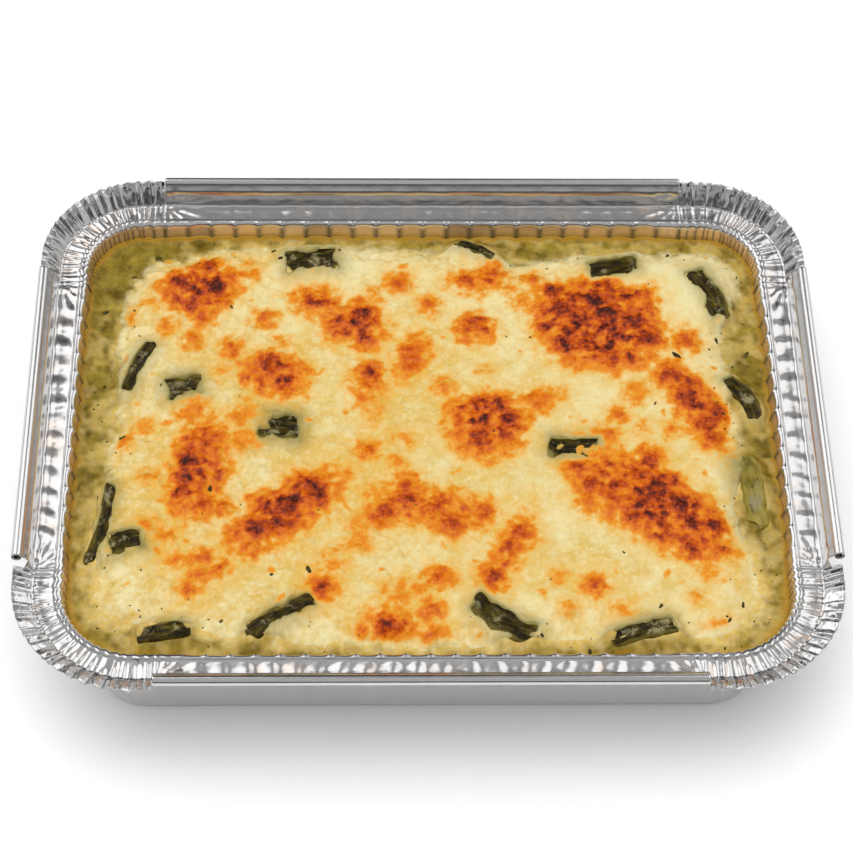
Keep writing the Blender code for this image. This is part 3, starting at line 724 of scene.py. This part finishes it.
def round_the_tray(x, y):
    """Inset from the tray's outer line, and the share of the way round from the right side's near hem end."""
    radius = np.where(y > 0, FAR_RADIUS, NEAR_RADIUS)
    beyond_x = np.abs(x) - (LENGTH / 2 - radius)
    beyond_y = np.abs(y) - (WIDTH / 2 - radius)
    in_corner = (beyond_x > 0) & (beyond_y > 0)
    to_side = LENGTH / 2 - np.abs(x)
    to_end = WIDTH / 2 - np.abs(y)
    inset = np.where(in_corner, radius - np.hypot(beyond_x, beyond_y), np.minimum(to_side, to_end))
    sideways = np.where(in_corner, True, to_side < to_end)
    arc_inset = wall_inset(SAUCE_LEVEL)
    far_arc = (FAR_RADIUS - arc_inset) * math.pi / 2
    near_arc = (NEAR_RADIUS - arc_inset) * math.pi / 2
    side = WIDTH - FAR_RADIUS - NEAR_RADIUS
    far = LENGTH - 2 * FAR_RADIUS
    near = LENGTH - 2 * NEAR_RADIUS
    angle = np.arctan2(np.maximum(beyond_y, 0), np.maximum(beyond_x, 0)) / (math.pi / 2)
    right_run = y + WIDTH / 2 - NEAR_RADIUS
    run = np.where(x > 0, right_run, side + far_arc * 2 + far + side - right_run)
    far_run = side + far_arc + far / 2 - x
    near_run = 2 * side + 2 * far_arc + far + near_arc + near / 2 + x
    run = np.where(sideways, run, np.where(y > 0, far_run, near_run))
    corner_run = np.select(
        [(x > 0) & (y > 0), (x <= 0) & (y > 0), (x <= 0) & (y <= 0)],
        [side + angle * far_arc, side + far_arc + far + (1 - angle) * far_arc,
         2 * side + 2 * far_arc + far + angle * near_arc],
        2 * side + 2 * far_arc + far + near_arc + near + (1 - angle) * near_arc)
    run = np.where(in_corner, corner_run, run)
    whole = 2 * side + far + near + 2 * far_arc + 2 * near_arc
    return inset, ((run - HEM_SETBACK) / whole) % 1.0


def cheese_depth(x, y):
    """How far a spot lies inside the cheese's edge, in millimetres; it is negative outside."""
    inset, share = round_the_tray(x, y)
    place = share * len(CHEESE_MARGINS)
    step = np.floor(place).astype(int)
    blend = (1 - np.cos(np.pi * (place - step))) / 2
    before = CHEESE_MARGINS[step % len(CHEESE_MARGINS)]
    after = CHEESE_MARGINS[(step + 1) % len(CHEESE_MARGINS)]
    margin = before + (after - before) * blend
    ragged = 0.9 * lumps(x, y, 5.5, 21) + 0.5 * lumps(x, y, 2.4, 22)
    return inset - wall_inset(SAUCE_LEVEL) - margin + ragged


def curds(x, y, size, seed, crisp=False):
    """Packed round curds about this wide: 1 on top of one and 0 in the creases, which are sharp if crisp."""
    u, v = x / size, y / size
    left, low = np.floor(u).astype(np.int64), np.floor(v).astype(np.int64)
    nearest, soft = np.full(np.shape(u), 9.0), np.zeros(np.shape(u))
    for step_u in (-1, 0, 1):
        for step_v in (-1, 0, 1):
            mixed = ((left + step_u) * 73856093 ^ (low + step_v) * 19349663 ^ seed * 83492791) & 0xffffffff
            mixed = ((mixed ^ (mixed >> 13)) * 1274126177) & 0xffffffff
            mid_u = left + step_u + 0.5 + 0.8 * ((mixed & 0xffff) / 65536 - 0.5)
            mid_v = low + step_v + 0.5 + 0.8 * ((mixed >> 16) / 65536 - 0.5)
            apart = np.hypot(u - mid_u, v - mid_v)
            nearest = np.minimum(nearest, apart)
            soft += np.exp(-5 * apart ** 2)
    return np.clip(1 - nearest ** 2 * 1.6 if crisp else (soft - 0.3) / 0.75, 0, 1)


def greening(x, y, inside):
    """How much pepper juice stains each spot of the cream, on the sauce and on the cheese's edge alike."""
    drift = (1.9 * lumps(x, y, 8, 51) + 1.5 * lumps(x, y, 3.6, 57) + 1.2 * lumps(x, y, 1.7, 58)
             + 0.8 * lumps(x, y, 0.9, 60) + 0.045 * np.clip(-y - 30, 0, 45)
             + 3.0 * ease(70, 92, np.abs(x)) * ease(24, 40, -y) * ease(82, 64, -y))
    cloudy = ease(-0.6, 0.5, lumps(x, y, 9, 67) + 0.7 * lumps(x, y, 4, 68) + 0.5 * lumps(x, y, 2, 69))
    # Most of the juice stands in the far left corner
    corner = ease(62, 90, -x) * ease(34, 62, y)
    stained = ease(5.2, -2.8, inside + drift - 1.5 * corner) * (0.53 + 0.5 * cloudy + 0.45 * corner)
    return np.clip(stained, 0, 1)


def swells(x, y):
    """The slow swells of the cheese, as its solid has them."""
    return np.array([sum(depth * noise.noise(Vector((here_x / size, here_y / size, size)))
                         for size, depth in SWELLS) for here_x, here_y in zip(x, y)])


def rotated(x, y, turn):
    """Coordinates along and across a direction that is turned this many degrees."""
    cos, sin = facing(math.radians(turn))
    return x * cos + y * sin, y * cos - x * sin


def oval(x, y, half_length, half_width, turn):
    """Each spot's share of the way out to an oval's outline, and its distance outside, in millimetres."""
    along, across = rotated(x, y, turn)
    far = np.hypot(along / half_length, across / half_width)
    return far, (far - 1) * min(half_length, half_width)


def patch_field(x, y):
    """Browning of each spot from 0 to 1: of wide patches, of small blobs and cores, and of their halos."""
    field = np.zeros_like(x)
    blobs = np.zeros_like(x)
    halo = np.zeros_like(x)
    bend_x = 2.2 * lumps(x, y, 6.5, 31) + 1.2 * lumps(x, y, 3.0, 32)
    bend_y = 2.2 * lumps(x, y, 6.5, 33) + 1.2 * lumps(x, y, 3.0, 34)
    fray_x, fray_y = x + 0.45 * lumps(x, y, 1.4, 35), y + 0.45 * lumps(x, y, 1.4, 36)
    for mid_x, mid_y, half_length, half_width, turn, dark in BROWNED:
        bent = min(1.0, min(half_length, half_width) / 7)
        far, edge = oval(fray_x + bent * bend_x - mid_x, fray_y + bent * bend_y - mid_y,
                         half_length, half_width, turn)
        if half_length < BLOB_LIMIT:
            blobs = np.maximum(blobs, dark * ease(1.4, -1.9, edge))
        else:
            dense = 0.84 + 0.42 * np.clip(1.15 - far, 0, 1)
            field = np.maximum(field, min(dark, 0.7) * dense * ease(1.9, -2.5, edge))
        halo = np.maximum(halo, dark * (0.38 * ease(3.6, -0.8, edge) + 0.2 * ease(11, 0, edge)))
    return field, blobs, halo


def strip_frames(x, y, place):
    """Coordinates along and across a strip for each spot, in millimetres."""
    mid_x, mid_y, length, _, turn, bend, _ = place
    along, across = rotated(x - mid_x, y - mid_y, turn)
    bow = np.clip(1 - 4 * (along / length) ** 2, -0.5, 1)
    return along, across - bend * bow


def strip_distance(x, y, place):
    """Distance outside a strip's rounded outline, in millimetres; it is negative inside."""
    along, across = strip_frames(x, y, place)
    over_x = np.abs(along) - place[2] / 2 + STRIP_ROUNDING
    over_y = np.abs(across) - place[3] / 2 + STRIP_ROUNDING
    outside = np.hypot(np.maximum(over_x, 0), np.maximum(over_y, 0))
    return outside + np.minimum(np.maximum(over_x, over_y), 0) - STRIP_ROUNDING


def bank(x, y):
    """How closely each spot lies beside a strip, from 0 to 1, where food banks up against it."""
    near = np.zeros(np.shape(x))
    for place in PEPPERS:
        near = np.maximum(near, np.exp(-(np.maximum(strip_distance(x, y, place), 0) / 2.6) ** 2))
    return near


def laps(x, y):
    """Where a tongue of cheese lies over a strip, from 0 to 1."""
    over = np.zeros(np.shape(x))
    warp_x, warp_y = x + 1.0 * lumps(x, y, 2.2, 91), y + 1.0 * lumps(x, y, 2.2, 92)
    for mid_x, mid_y, half_length, half_width, turn in LAPS:
        _, edge = oval(warp_x - mid_x, warp_y - mid_y, half_length, half_width, turn)
        over = np.maximum(over, ease(0.5, -0.5, edge))
    return over


def toasting(x, y, shift_x, shift_y, inside):
    """The cheese's browning from 0 to 1, and how high its blisters and crisp curds stand."""
    field, blobs, halo = patch_field(x, y)
    blister = curds(shift_y, shift_x, 2.3, 85, crisp=True)
    fine = curds(shift_y, shift_x, 1.3, 86, crisp=True)
    scorch = (0.7 * lumps(x, y, 5.0, 45) + 1.0 * lumps(x, y, 2.7, 46) + 0.5 * lumps(x, y, 1.4, 59)
              + 0.5 * (blister - 0.55))
    browning = field * np.clip(0.72 + 0.56 * scorch, 0.2, 1.4)
    browning = np.maximum(browning, blobs * np.clip(0.84 + 0.22 * scorch, 0.3, 1.08))
    browning = np.maximum(browning, halo * (0.92 + 0.6 * lumps(x, y, 2.6, 47) + 0.25 * lumps(x, y, 1.3, 48)))
    relief = np.maximum(field, blobs) * (0.3 + 0.75 * blister + 0.35 * fine) + 0.3 * browning
    freckles = ease(0.62, 0.95, lumps(x, y, 3.4, 49) + 0.5 * lumps(x, y, 9, 50)) * 0.26
    return np.clip(np.maximum(browning, freckles), 0, 1) * ease(0.5, 4, inside), relief


def open_wells(x, y, height, browning, greenness):
    """Opens the wells that show the strips, and gives how much the strips grey the thin cheese over them,
    with a little painted shade beside them.
    """
    lapped = laps(x, y)
    veiled_and_shaded = np.zeros_like(x)
    for place in PEPPERS:
        veil = place[6]
        away = strip_distance(x, y, place)
        # The cheese laps over a strip's rim by up to 2 mm, and here and there not at all
        kept = min(1.0, place[3] / 7)
        edge = away + kept * (0.8 + veil + 1.9 * lumps(x, y, 5.0, 52) + 0.5 * lumps(x, y, 2.4, 53)
                              + 0.15 * lumps(x, y, 1.2, 54))
        well = ease(0.35, -0.45, edge) * (1 - lapped)
        over = ease(0.6, -0.7, away)
        height += over * (1 - well) * 0.4
        height = height + np.minimum(0, STRIP_TOP - 1.6 - height) * well
        # The cheese is thinnest, and greyed most, at its edge over the strip; within 2.5 mm of each strip's
        # rim it is greyed a little more, as painted shade
        thin = (0.2 + 0.6 * ease(1.2, 0.0, edge)) * (1 - 0.8 * lapped) + 0.6 * lapped * (1 - lapped)
        veiled_and_shaded = np.maximum(veiled_and_shaded, thin * over + 0.12 * ease(2.5, 0, away))
        greenness = np.maximum(greenness, (0.32 + 0.45 * veil) * ease(4.5 + 3 * veil, -0.8, away))
        browning *= 1 - 0.8 * ease(1.2, -0.5, away) * (1 - lapped)
    return height, browning, greenness, veiled_and_shaded


def cheese_sheet():
    """The melted cheese: a closed sheet with its swells, curds, blisters and wells. Gives its height."""
    half_x, half_y = LENGTH / 2 - GRID_INSET, WIDTH / 2 - GRID_INSET
    x, y = np.meshgrid(np.arange(-half_x, half_x, CHEESE_GRID), np.arange(-half_y, half_y, CHEESE_GRID))
    inside = cheese_depth(x, y)
    slow = swells(x.ravel(), y.ravel()).reshape(x.shape)
    shoulder = ease(0, 1.15 * CHEESE_SHOULDER, inside)
    height = (SAUCE_LEVEL - 0.3 + 1.1 * (1 - np.exp(-np.maximum(inside, 0) / 3.0))
              + (CHEESE_THICKNESS - CHEESE_LIP + slow + 0.2) * shoulder)
    # The cheese is lumpier on the left and near its edge, and smooth in the right of the middle
    curdled = np.clip(0.6 - 0.006 * x + 0.35 * lumps(x, y, 26, 41) + 0.4 * ease(16, 2, inside), 0.15, 1.1)
    shift_x, shift_y = x + 0.8 * lumps(x, y, 3, 81), y + 0.8 * lumps(x, y, 3, 82)
    large, small = curds(shift_x, shift_y, 3.4, 83), curds(shift_x, shift_y, 1.9, 84)
    lumpy = 0.55 * large + 0.4 * small + 0.5 * lumps(x, y, 6.5, 42) + 0.2 * lumps(x, y, 1.5, 44) - 0.6
    height += lumpy * curdled * ease(0, 3.0, inside)

    browning, relief = toasting(x, y, shift_x, shift_y, inside)
    height += relief
    greenness = greening(x, y, inside) * (1.1 - 0.35 * small)

    near_strip = bank(x, y)
    banked = STRIP_TOP - 0.1 + 0.4 * lumps(x, y, 3.0, 87) + 0.35 * small
    height = np.maximum(height, height + (banked - height) * near_strip * ease(-0.5, 1.5, inside))
    height, browning, greenness, veiled_and_shaded = open_wells(x, y, height, browning, greenness)
    butter = np.clip(0.42 - 0.0012 * x - 0.006 * np.maximum(y, 0) + 0.45 * lumps(x, y, 24, 55)
                     + 0.4 * lumps(x, y, 6, 56) + 0.4 * (0.6 - small) * curdled
                     + 0.35 * np.exp(-((x + 5) / 42) ** 2 - ((y - 5) / 38) ** 2), 0, 1)
    keep = inside > -0.6
    height = np.where(inside > 0, height, SAUCE_LEVEL - 0.35)
    marks = {"browning": browning, "greenness": np.clip(greenness, 0, 1), "butter": butter, "veiled_and_shaded": veiled_and_shaded}
    build_cheese(x, y, height, keep, marks)
    return np.where(keep, height, SAUCE_LEVEL - 0.1)


def build_cheese(x, y, height, keep, marks):
    """Makes the cheese's mesh of the kept cells of the grid, with a skirt and a flat underside."""
    cols = x.shape[1]
    full = keep[:-1, :-1] & keep[1:, :-1] & keep[:-1, 1:] & keep[1:, 1:]
    row, col = np.nonzero(full)
    corners_of = np.stack((row * cols + col, row * cols + col + 1, (row + 1) * cols + col + 1,
                           (row + 1) * cols + col), axis=-1)
    used, renamed = np.unique(corners_of, return_inverse=True)
    points = np.stack((x.ravel()[used], y.ravel()[used], height.ravel()[used]), axis=-1)
    faces = renamed.reshape(-1, 4).tolist()
    cheese = new_piece("cheese_crust", points, faces, baked_cheese(), "cheese", "cheese")
    for name, values in marks.items():
        mark(cheese, name, values.ravel()[used])
    shape = bmesh.new()
    shape.from_mesh(cheese.data)
    rim = [edge for edge in shape.edges if edge.is_boundary]
    skirt = bmesh.ops.extrude_edge_only(shape, edges=rim)["geom"]
    for vert in (part for part in skirt if isinstance(part, bmesh.types.BMVert)):
        vert.co.z = (SAUCE_LEVEL - 0.8) * MM
    bmesh.ops.contextual_create(shape, geom=[part for part in skirt if isinstance(part, bmesh.types.BMEdge)])
    shape.to_mesh(cheese.data)
    shape.free()


def sauce_pool(columns):
    """The sauce: a closed solid with the tray's fluted sides, a waved top and a rim that climbs the foil."""
    insets, heights = tray_points(columns)
    wall = insets[BASE_LEVELS:BASE_LEVELS + WALL_LEVELS]
    wall_heights = heights[BASE_LEVELS:BASE_LEVELS + WALL_LEVELS]
    off = 0.25
    rows = [(insets[0] + 0.3, np.full(columns.count, 0.5)), (insets[4] + 0.4, np.full(columns.count, 3.0))]
    rows += [(wall[step] + off, wall_heights[step]) for step in (1, 3, 5)]
    top = wall[6] - (wall[6] - wall[7]) * 0.2
    outer_x, outer_y = columns.at(top)
    climb = 1.3 + 0.5 * lumps(outer_x, outer_y, 14, 61) + 0.3 * lumps(outer_x, outer_y, 5, 62)
    share = (SAUCE_LEVEL + climb - wall_heights[5]) / (wall_heights[7] - wall_heights[5])
    rim = wall[5] + (wall[7] - wall[5]) * share
    rows.append((rim + off * 0.4, SAUCE_LEVEL + climb - 0.15))
    rows.append((rim + off * 0.6, SAUCE_LEVEL + climb))
    steps = np.concatenate((np.linspace(0.35, 3.0, 9), np.linspace(3.6, 19, 26)))
    for step in steps:
        across = rim + step
        here_x, here_y = columns.at(across)
        wave = (0.2 * lumps(here_x, here_y, 6.0, 63) + 0.14 * lumps(here_x, here_y, 2.6, 64)
                + 0.12 * curds(here_x, here_y, 1.9, 84) + 2.5 * bank(here_x, here_y))
        sunk = float(ease(15, 18.5, step))
        level = SAUCE_LEVEL - 0.15 + climb * math.exp(-step / 0.8) + wave * min(1, step / 2)
        rows.append((across, level * (1 - sunk) + (SAUCE_LEVEL - 0.6) * sunk))
    points = np.concatenate([np.stack((*columns.at(across), up), axis=-1) for across, up in rows])
    faces = tube(columns.count, len(rows))
    sauce = new_piece("sauce_pool", points, faces, pepper_sauce(), "sauce", "sauce")
    x, y = points[:, 0], points[:, 1]
    mark(sauce, "greenness", greening(x, y, cheese_depth(x, y)))
    below = np.repeat([0.0] * (len(rows) - len(steps)) + list(steps), columns.count)
    wide = 1.6 + 2.2 * ease(35, 72, -y)
    mark(sauce, "toasted", ease(1.0, 0.1, (below + 0.7 * lumps(x, y, 4, 66)) / wide))


def pepper_strip(number, place, material):
    """One strip of roasted pepper: bent, cut askew, flat on top, with creases along it and rounded edges."""
    mid_x, mid_y, length, width, turn, bend, veil = place
    dice = np.random.default_rng(100 + number)
    steps, sides = 46, 32
    share = np.linspace(-1, 1, steps)[:, None]
    angle = np.linspace(0, 2 * math.pi, sides, endpoint=False)[None, :]
    share = np.sign(share) * (1 - (1 - np.abs(share)) ** 1.6)
    taper = (1 - np.abs(share) ** 26) ** 0.5
    edge = np.sign(np.cos(angle))
    ragged = 1 + 0.16 * lumps(share * length / 2, edge + 9.0 * number, 4.0, 71)
    skew = dice.uniform(-0.35, 0.35) * width
    wide = edge * np.abs(np.cos(angle)) ** 0.4
    high = np.sign(np.sin(angle)) * np.abs(np.sin(angle)) ** 0.5
    across = wide * width / 2 * (0.92 + 0.08 * (1 - share ** 2)) * ragged * taper
    ends = 0.6 * lumps(across + 5 * number, share * 0, 4.5, 74) * np.abs(share) ** 6
    along = share * length / 2 + skew * wide * share * 0.6 + ends
    top = np.maximum(high, 0)
    wrinkle = (0.45 * lumps(across * 1.3 + 31 * number, along / 5, 1.5, 72)
               + 0.3 * lumps(along, across + 17 * number, 2.6, 73))
    rise = STRIP_THICKNESS / 2
    hollow = 0.6 * (1 - np.abs(wide)) * dice.uniform(-0.3, 1)
    up = STRIP_FOOT + rise + high * rise * (0.8 + 0.2 * taper) + top * (wrinkle - hollow) - 0.1
    sideways = across + bend * (1 - share ** 2)
    cos, sin = facing(math.radians(turn))
    x = mid_x + along * cos - sideways * sin
    y = mid_y + along * sin + sideways * cos
    points = np.stack((x, y, np.minimum(up, STRIP_TOP + 0.5)), axis=-1).reshape(-1, 3)
    strip = new_piece(f"strip_{number:02d}", points, tube(sides, steps), material, "pepper",
                      f"pepper_{number:02d}")
    grain = np.stack((along / 4, across, up / 2 + 7.0 * number), axis=-1)
    strip.data.attributes.new("grain", "FLOAT_VECTOR", "POINT").data.foreach_set(
        "vector", grain.astype(np.float32).ravel())
    # The rounded rim gets less of the grey film and painted sheen, and stays dark
    rim = ease(0.45, 0.95, np.abs(wide)) * np.ones_like(share)
    mark(strip, "veil", 0.3 * veil - 0.3 * rim.ravel())
    side = 1 if dice.uniform(0, 1) < 0.5 else -1
    cut_side = ease(0.5, 0.9, side * wide + 0.25 * lumps(along, across + 3.0 * number, 3.0, 75))
    mark(strip, "cut_side", 0.85 * cut_side.ravel())
    deep = ease(0.2, 0.9, veil - 0.25 + 0.5 * lumps(x, y, 5.0, 76) + 0.35 * lumps(x, y, 2.0, 77) + 0.6 * rim)
    mark(strip, "drowned", (0.95 * deep * (veil > 0.5)).ravel())


def scraps(height, flecks=210):
    """Chopped herb and the smallest scraps of pepper: thin crooked chips lying on the food, in one mesh."""
    dice = np.random.default_rng(23)
    points, faces = [], []
    sides = 7
    half_x, half_y = LENGTH / 2 - 17, WIDTH / 2 - 17
    placed = list(SCRAPS)
    while len(placed) < flecks + len(SCRAPS):
        x, y, chance, size, stretch, turn = dice.uniform(0, 1, 6)
        x, y = (2 * x - 1) * half_x, (2 * y - 1) * half_y
        inside = float(cheese_depth(np.array(x), np.array(y)))
        inset = float(round_the_tray(np.array(x), np.array(y))[0])
        if inset < WALL_INSET + 3.5 or chance > 0.025 + 0.9 * float(ease(13, 0, inside)):
            continue
        size = 0.28 + 0.42 * size + 1.1 * max(0.0, size - 0.85) / 0.15
        placed.append((x, y, size * (1 + 1.6 * stretch), size, 360 * turn))
    for x, y, length, width, turn in placed:
        angle = np.linspace(0, 2 * math.pi, sides, endpoint=False) + dice.uniform(0, 1)
        out = dice.uniform(0.65, 1.1, sides)
        u, v = np.cos(angle) * out * length / 2, np.sin(angle) * out * width / 2
        cos, sin = facing(math.radians(turn))
        lean_u, lean_v = dice.uniform(-0.15, 0.15, 2)
        row = int(round((y + WIDTH / 2 - GRID_INSET) / CHEESE_GRID))
        col = int(round((x + LENGTH / 2 - GRID_INSET) / CHEESE_GRID))
        ground = height[min(max(row, 0), height.shape[0] - 1), min(max(col, 0), height.shape[1] - 1)]
        first = len(points)
        for lift in (-0.15, 0.08 + 0.1 * min(width, 1.5)):
            shrink = 1.0 if lift < 0 else 0.85
            points.extend(zip(x + shrink * (u * cos - v * sin), y + shrink * (u * sin + v * cos),
                              ground + lift + lean_u * u + lean_v * v))
        faces.append([first + side for side in range(sides)][::-1])
        faces.append([first + sides + side for side in range(sides)])
        faces.extend((first + side, first + (side + 1) % sides, first + sides + (side + 1) % sides,
                      first + sides + side) for side in range(sides))
    new_piece("herb_scraps", points, faces, herb_leaf(), "pepper")


# Stage

CAMERA_TARGET = (0.642, 15.986, 20.0)
CAMERA_DISTANCE = 750.457
CAMERA_ELEVATION = 53.836
CAMERA_YAW = -2.362
CAMERA_ROLL = 1.879
CAMERA_LENS = 107.06
PANELS = 5.0
SKY = (-0.09, -0.13, 1.0)
SKY_FOCUS = 12.0
SKY_STRENGTH = 5.4
EVEN_STRENGTH = 0.36


def white_floor():
    """A sheet of white card under the tray."""
    bpy.ops.mesh.primitive_plane_add(size=8.0, location=(0, 0, -0.0002))
    floor = bpy.context.object
    floor.name = "floor"
    material, tree, shader = new_material("white_card")
    feed(tree, shader, {"Base Color": linear("#FFFFFF"), "Roughness": 0.9})
    floor.data.materials.append(material)


def grey_room():
    """Skylight on what is dull, and a grey room with white panels for the foil to mirror."""
    world = bpy.data.worlds.new("studio")
    world.use_nodes = True
    bpy.context.scene.world = world
    tree = world.node_tree
    heading = add(tree, "ShaderNodeTexCoord").outputs["Generated"]
    way = add(tree, "ShaderNodeSeparateXYZ", {"Vector": heading}).outputs
    ceiling = add(tree, "ShaderNodeValToRGB", {"Fac": way["Z"]}, stops=(
        (0.0, "#E2E2E2"), (1.0, "#AAAAAA"), (0.3, "#D6D6D6"), (0.62, "#929294"), (0.85, "#8C8C8E")))
    # The wall behind the photographer is paler than the ceiling
    behind = add(tree, "ShaderNodeMapRange", {"Value": way["Y"], "From Min": -0.25, "From Max": -0.7,
                                              "To Min": 0.0, "To Max": 0.5}).outputs[0]
    ceiling = add(tree, "ShaderNodeMix", {0: behind, 6: ceiling.outputs[0], 7: linear("#E0E0E0")},
                  data_type="RGBA").outputs[2]
    # White panels stand round the table, with dark gaps between them and none before the photographer
    bearing = add(tree, "ShaderNodeMath", {0: way["X"], 1: way["Y"]}, operation="ARCTAN2").outputs[0]
    turns = add(tree, "ShaderNodeMath", {0: bearing, 1: PANELS, 2: -1.2},
                operation="MULTIPLY_ADD").outputs[0]
    swing = add(tree, "ShaderNodeMath", {0: turns}, operation="SINE").outputs[0]
    gap = add(tree, "ShaderNodeMapRange", {"Value": swing, "From Min": -0.35, "From Max": -0.8}).outputs[0]
    front = add(tree, "ShaderNodeMapRange", {"Value": way["Y"], "From Min": -0.7, "From Max": -0.85,
                                             "To Min": 0.0, "To Max": 0.9}).outputs[0]
    under = add(tree, "ShaderNodeMapRange", {"Value": way["Z"], "From Min": 0.6, "From Max": 0.48}).outputs[0]
    front = add(tree, "ShaderNodeMath", {0: front, 1: under}, operation="MULTIPLY").outputs[0]
    unlit = add(tree, "ShaderNodeMath", {0: gap, 1: front}, operation="MAXIMUM").outputs[0]
    low = add(tree, "ShaderNodeMapRange", {"Value": way["Z"], "From Min": 0.72, "From Max": 0.6}).outputs[0]
    dark = add(tree, "ShaderNodeMath", {0: unlit, 1: low}, operation="MULTIPLY").outputs[0]
    room = add(tree, "ShaderNodeMix", {0: dark, 6: ceiling, 7: linear("#3A3A3C")}, data_type="RGBA")
    seen = add(tree, "ShaderNodeBackground", {"Color": room.outputs[2], "Strength": 1.0})
    around = tree.nodes["Background"]
    feed(tree, around, {"Color": linear("#FFFFFF")})
    # The foil mirrors the room. On what is dull falls even white light, and more of it from above.
    facing_sky = add(tree, "ShaderNodeVectorMath", {0: heading, 1: tuple(Vector(SKY).normalized())},
                     operation="DOT_PRODUCT").outputs["Value"]
    facing_sky = add(tree, "ShaderNodeMath", {0: facing_sky, 1: 0.0}, operation="MAXIMUM").outputs[0]
    glow = add(tree, "ShaderNodeMath", {0: facing_sky, 1: SKY_FOCUS}, operation="POWER").outputs[0]
    level = add(tree, "ShaderNodeMath", {0: glow, 1: SKY_STRENGTH, 2: EVEN_STRENGTH},
                operation="MULTIPLY_ADD").outputs[0]
    feed(tree, around, {"Strength": level})
    ray = add(tree, "ShaderNodeLightPath").outputs["Is Glossy Ray"]
    both = add(tree, "ShaderNodeMixShader", {0: ray, 1: around.outputs[0], 2: seen.outputs[0]})
    feed(tree, tree.nodes["World Output"], {"Surface": both.outputs[0]})


def soft_boxes():
    """A soft box at each side, seen only in what shines."""
    for name, place, size, power in (
            ("left_box", (-0.72, 0.55, 0.98), (1.05, 1.1), 4.6),
            ("right_box", (0.78, 0.50, 0.95), (1.0, 1.1), 4.0)):
        light = bpy.data.lights.new(name, "AREA")
        light.shape = "RECTANGLE"
        light.size, light.size_y = size
        light.energy = power
        lamp = bpy.data.objects.new(name, light)
        bpy.context.scene.collection.objects.link(lamp)
        lamp.location = place
        lamp.rotation_euler = (-Vector(place)).to_track_quat("-Z", "Y").to_euler()
        lamp.visible_diffuse = False


def photo_camera():
    """The photograph's camera, with its slight roll."""
    yaw, tilt, spin = (math.radians(angle) for angle in (CAMERA_YAW, CAMERA_ELEVATION, CAMERA_ROLL))
    back = Vector((math.sin(yaw) * math.cos(tilt), -math.cos(yaw) * math.cos(tilt), math.sin(tilt)))
    level = Vector((math.cos(yaw), math.sin(yaw), 0))
    upward = back.cross(level)
    right = level * math.cos(spin) + upward * math.sin(spin)
    above = upward * math.cos(spin) - level * math.sin(spin)
    camera = bpy.data.objects.new("camera", bpy.data.cameras.new("camera"))
    bpy.context.scene.collection.objects.link(camera)
    camera.data.lens = CAMERA_LENS
    camera.data.clip_start = 0.05
    turned = Matrix((right, above, back)).transposed().to_4x4()
    camera.matrix_world = Matrix.Translation((Vector(CAMERA_TARGET) + back * CAMERA_DISTANCE) * MM) @ turned
    bpy.context.scene.camera = camera
    bpy.context.scene.view_settings.view_transform = "Standard"


def main():
    """Makes the tray, its food and the studio."""
    columns = Columns()
    foil_tray(columns)
    sauce_pool(columns)
    scraps(cheese_sheet())
    skin = pepper_skin()
    for number, place in enumerate(PEPPERS, start=1):
        pepper_strip(number, place, skin)
    white_floor()
    grey_room()
    soft_boxes()
    photo_camera()


main()
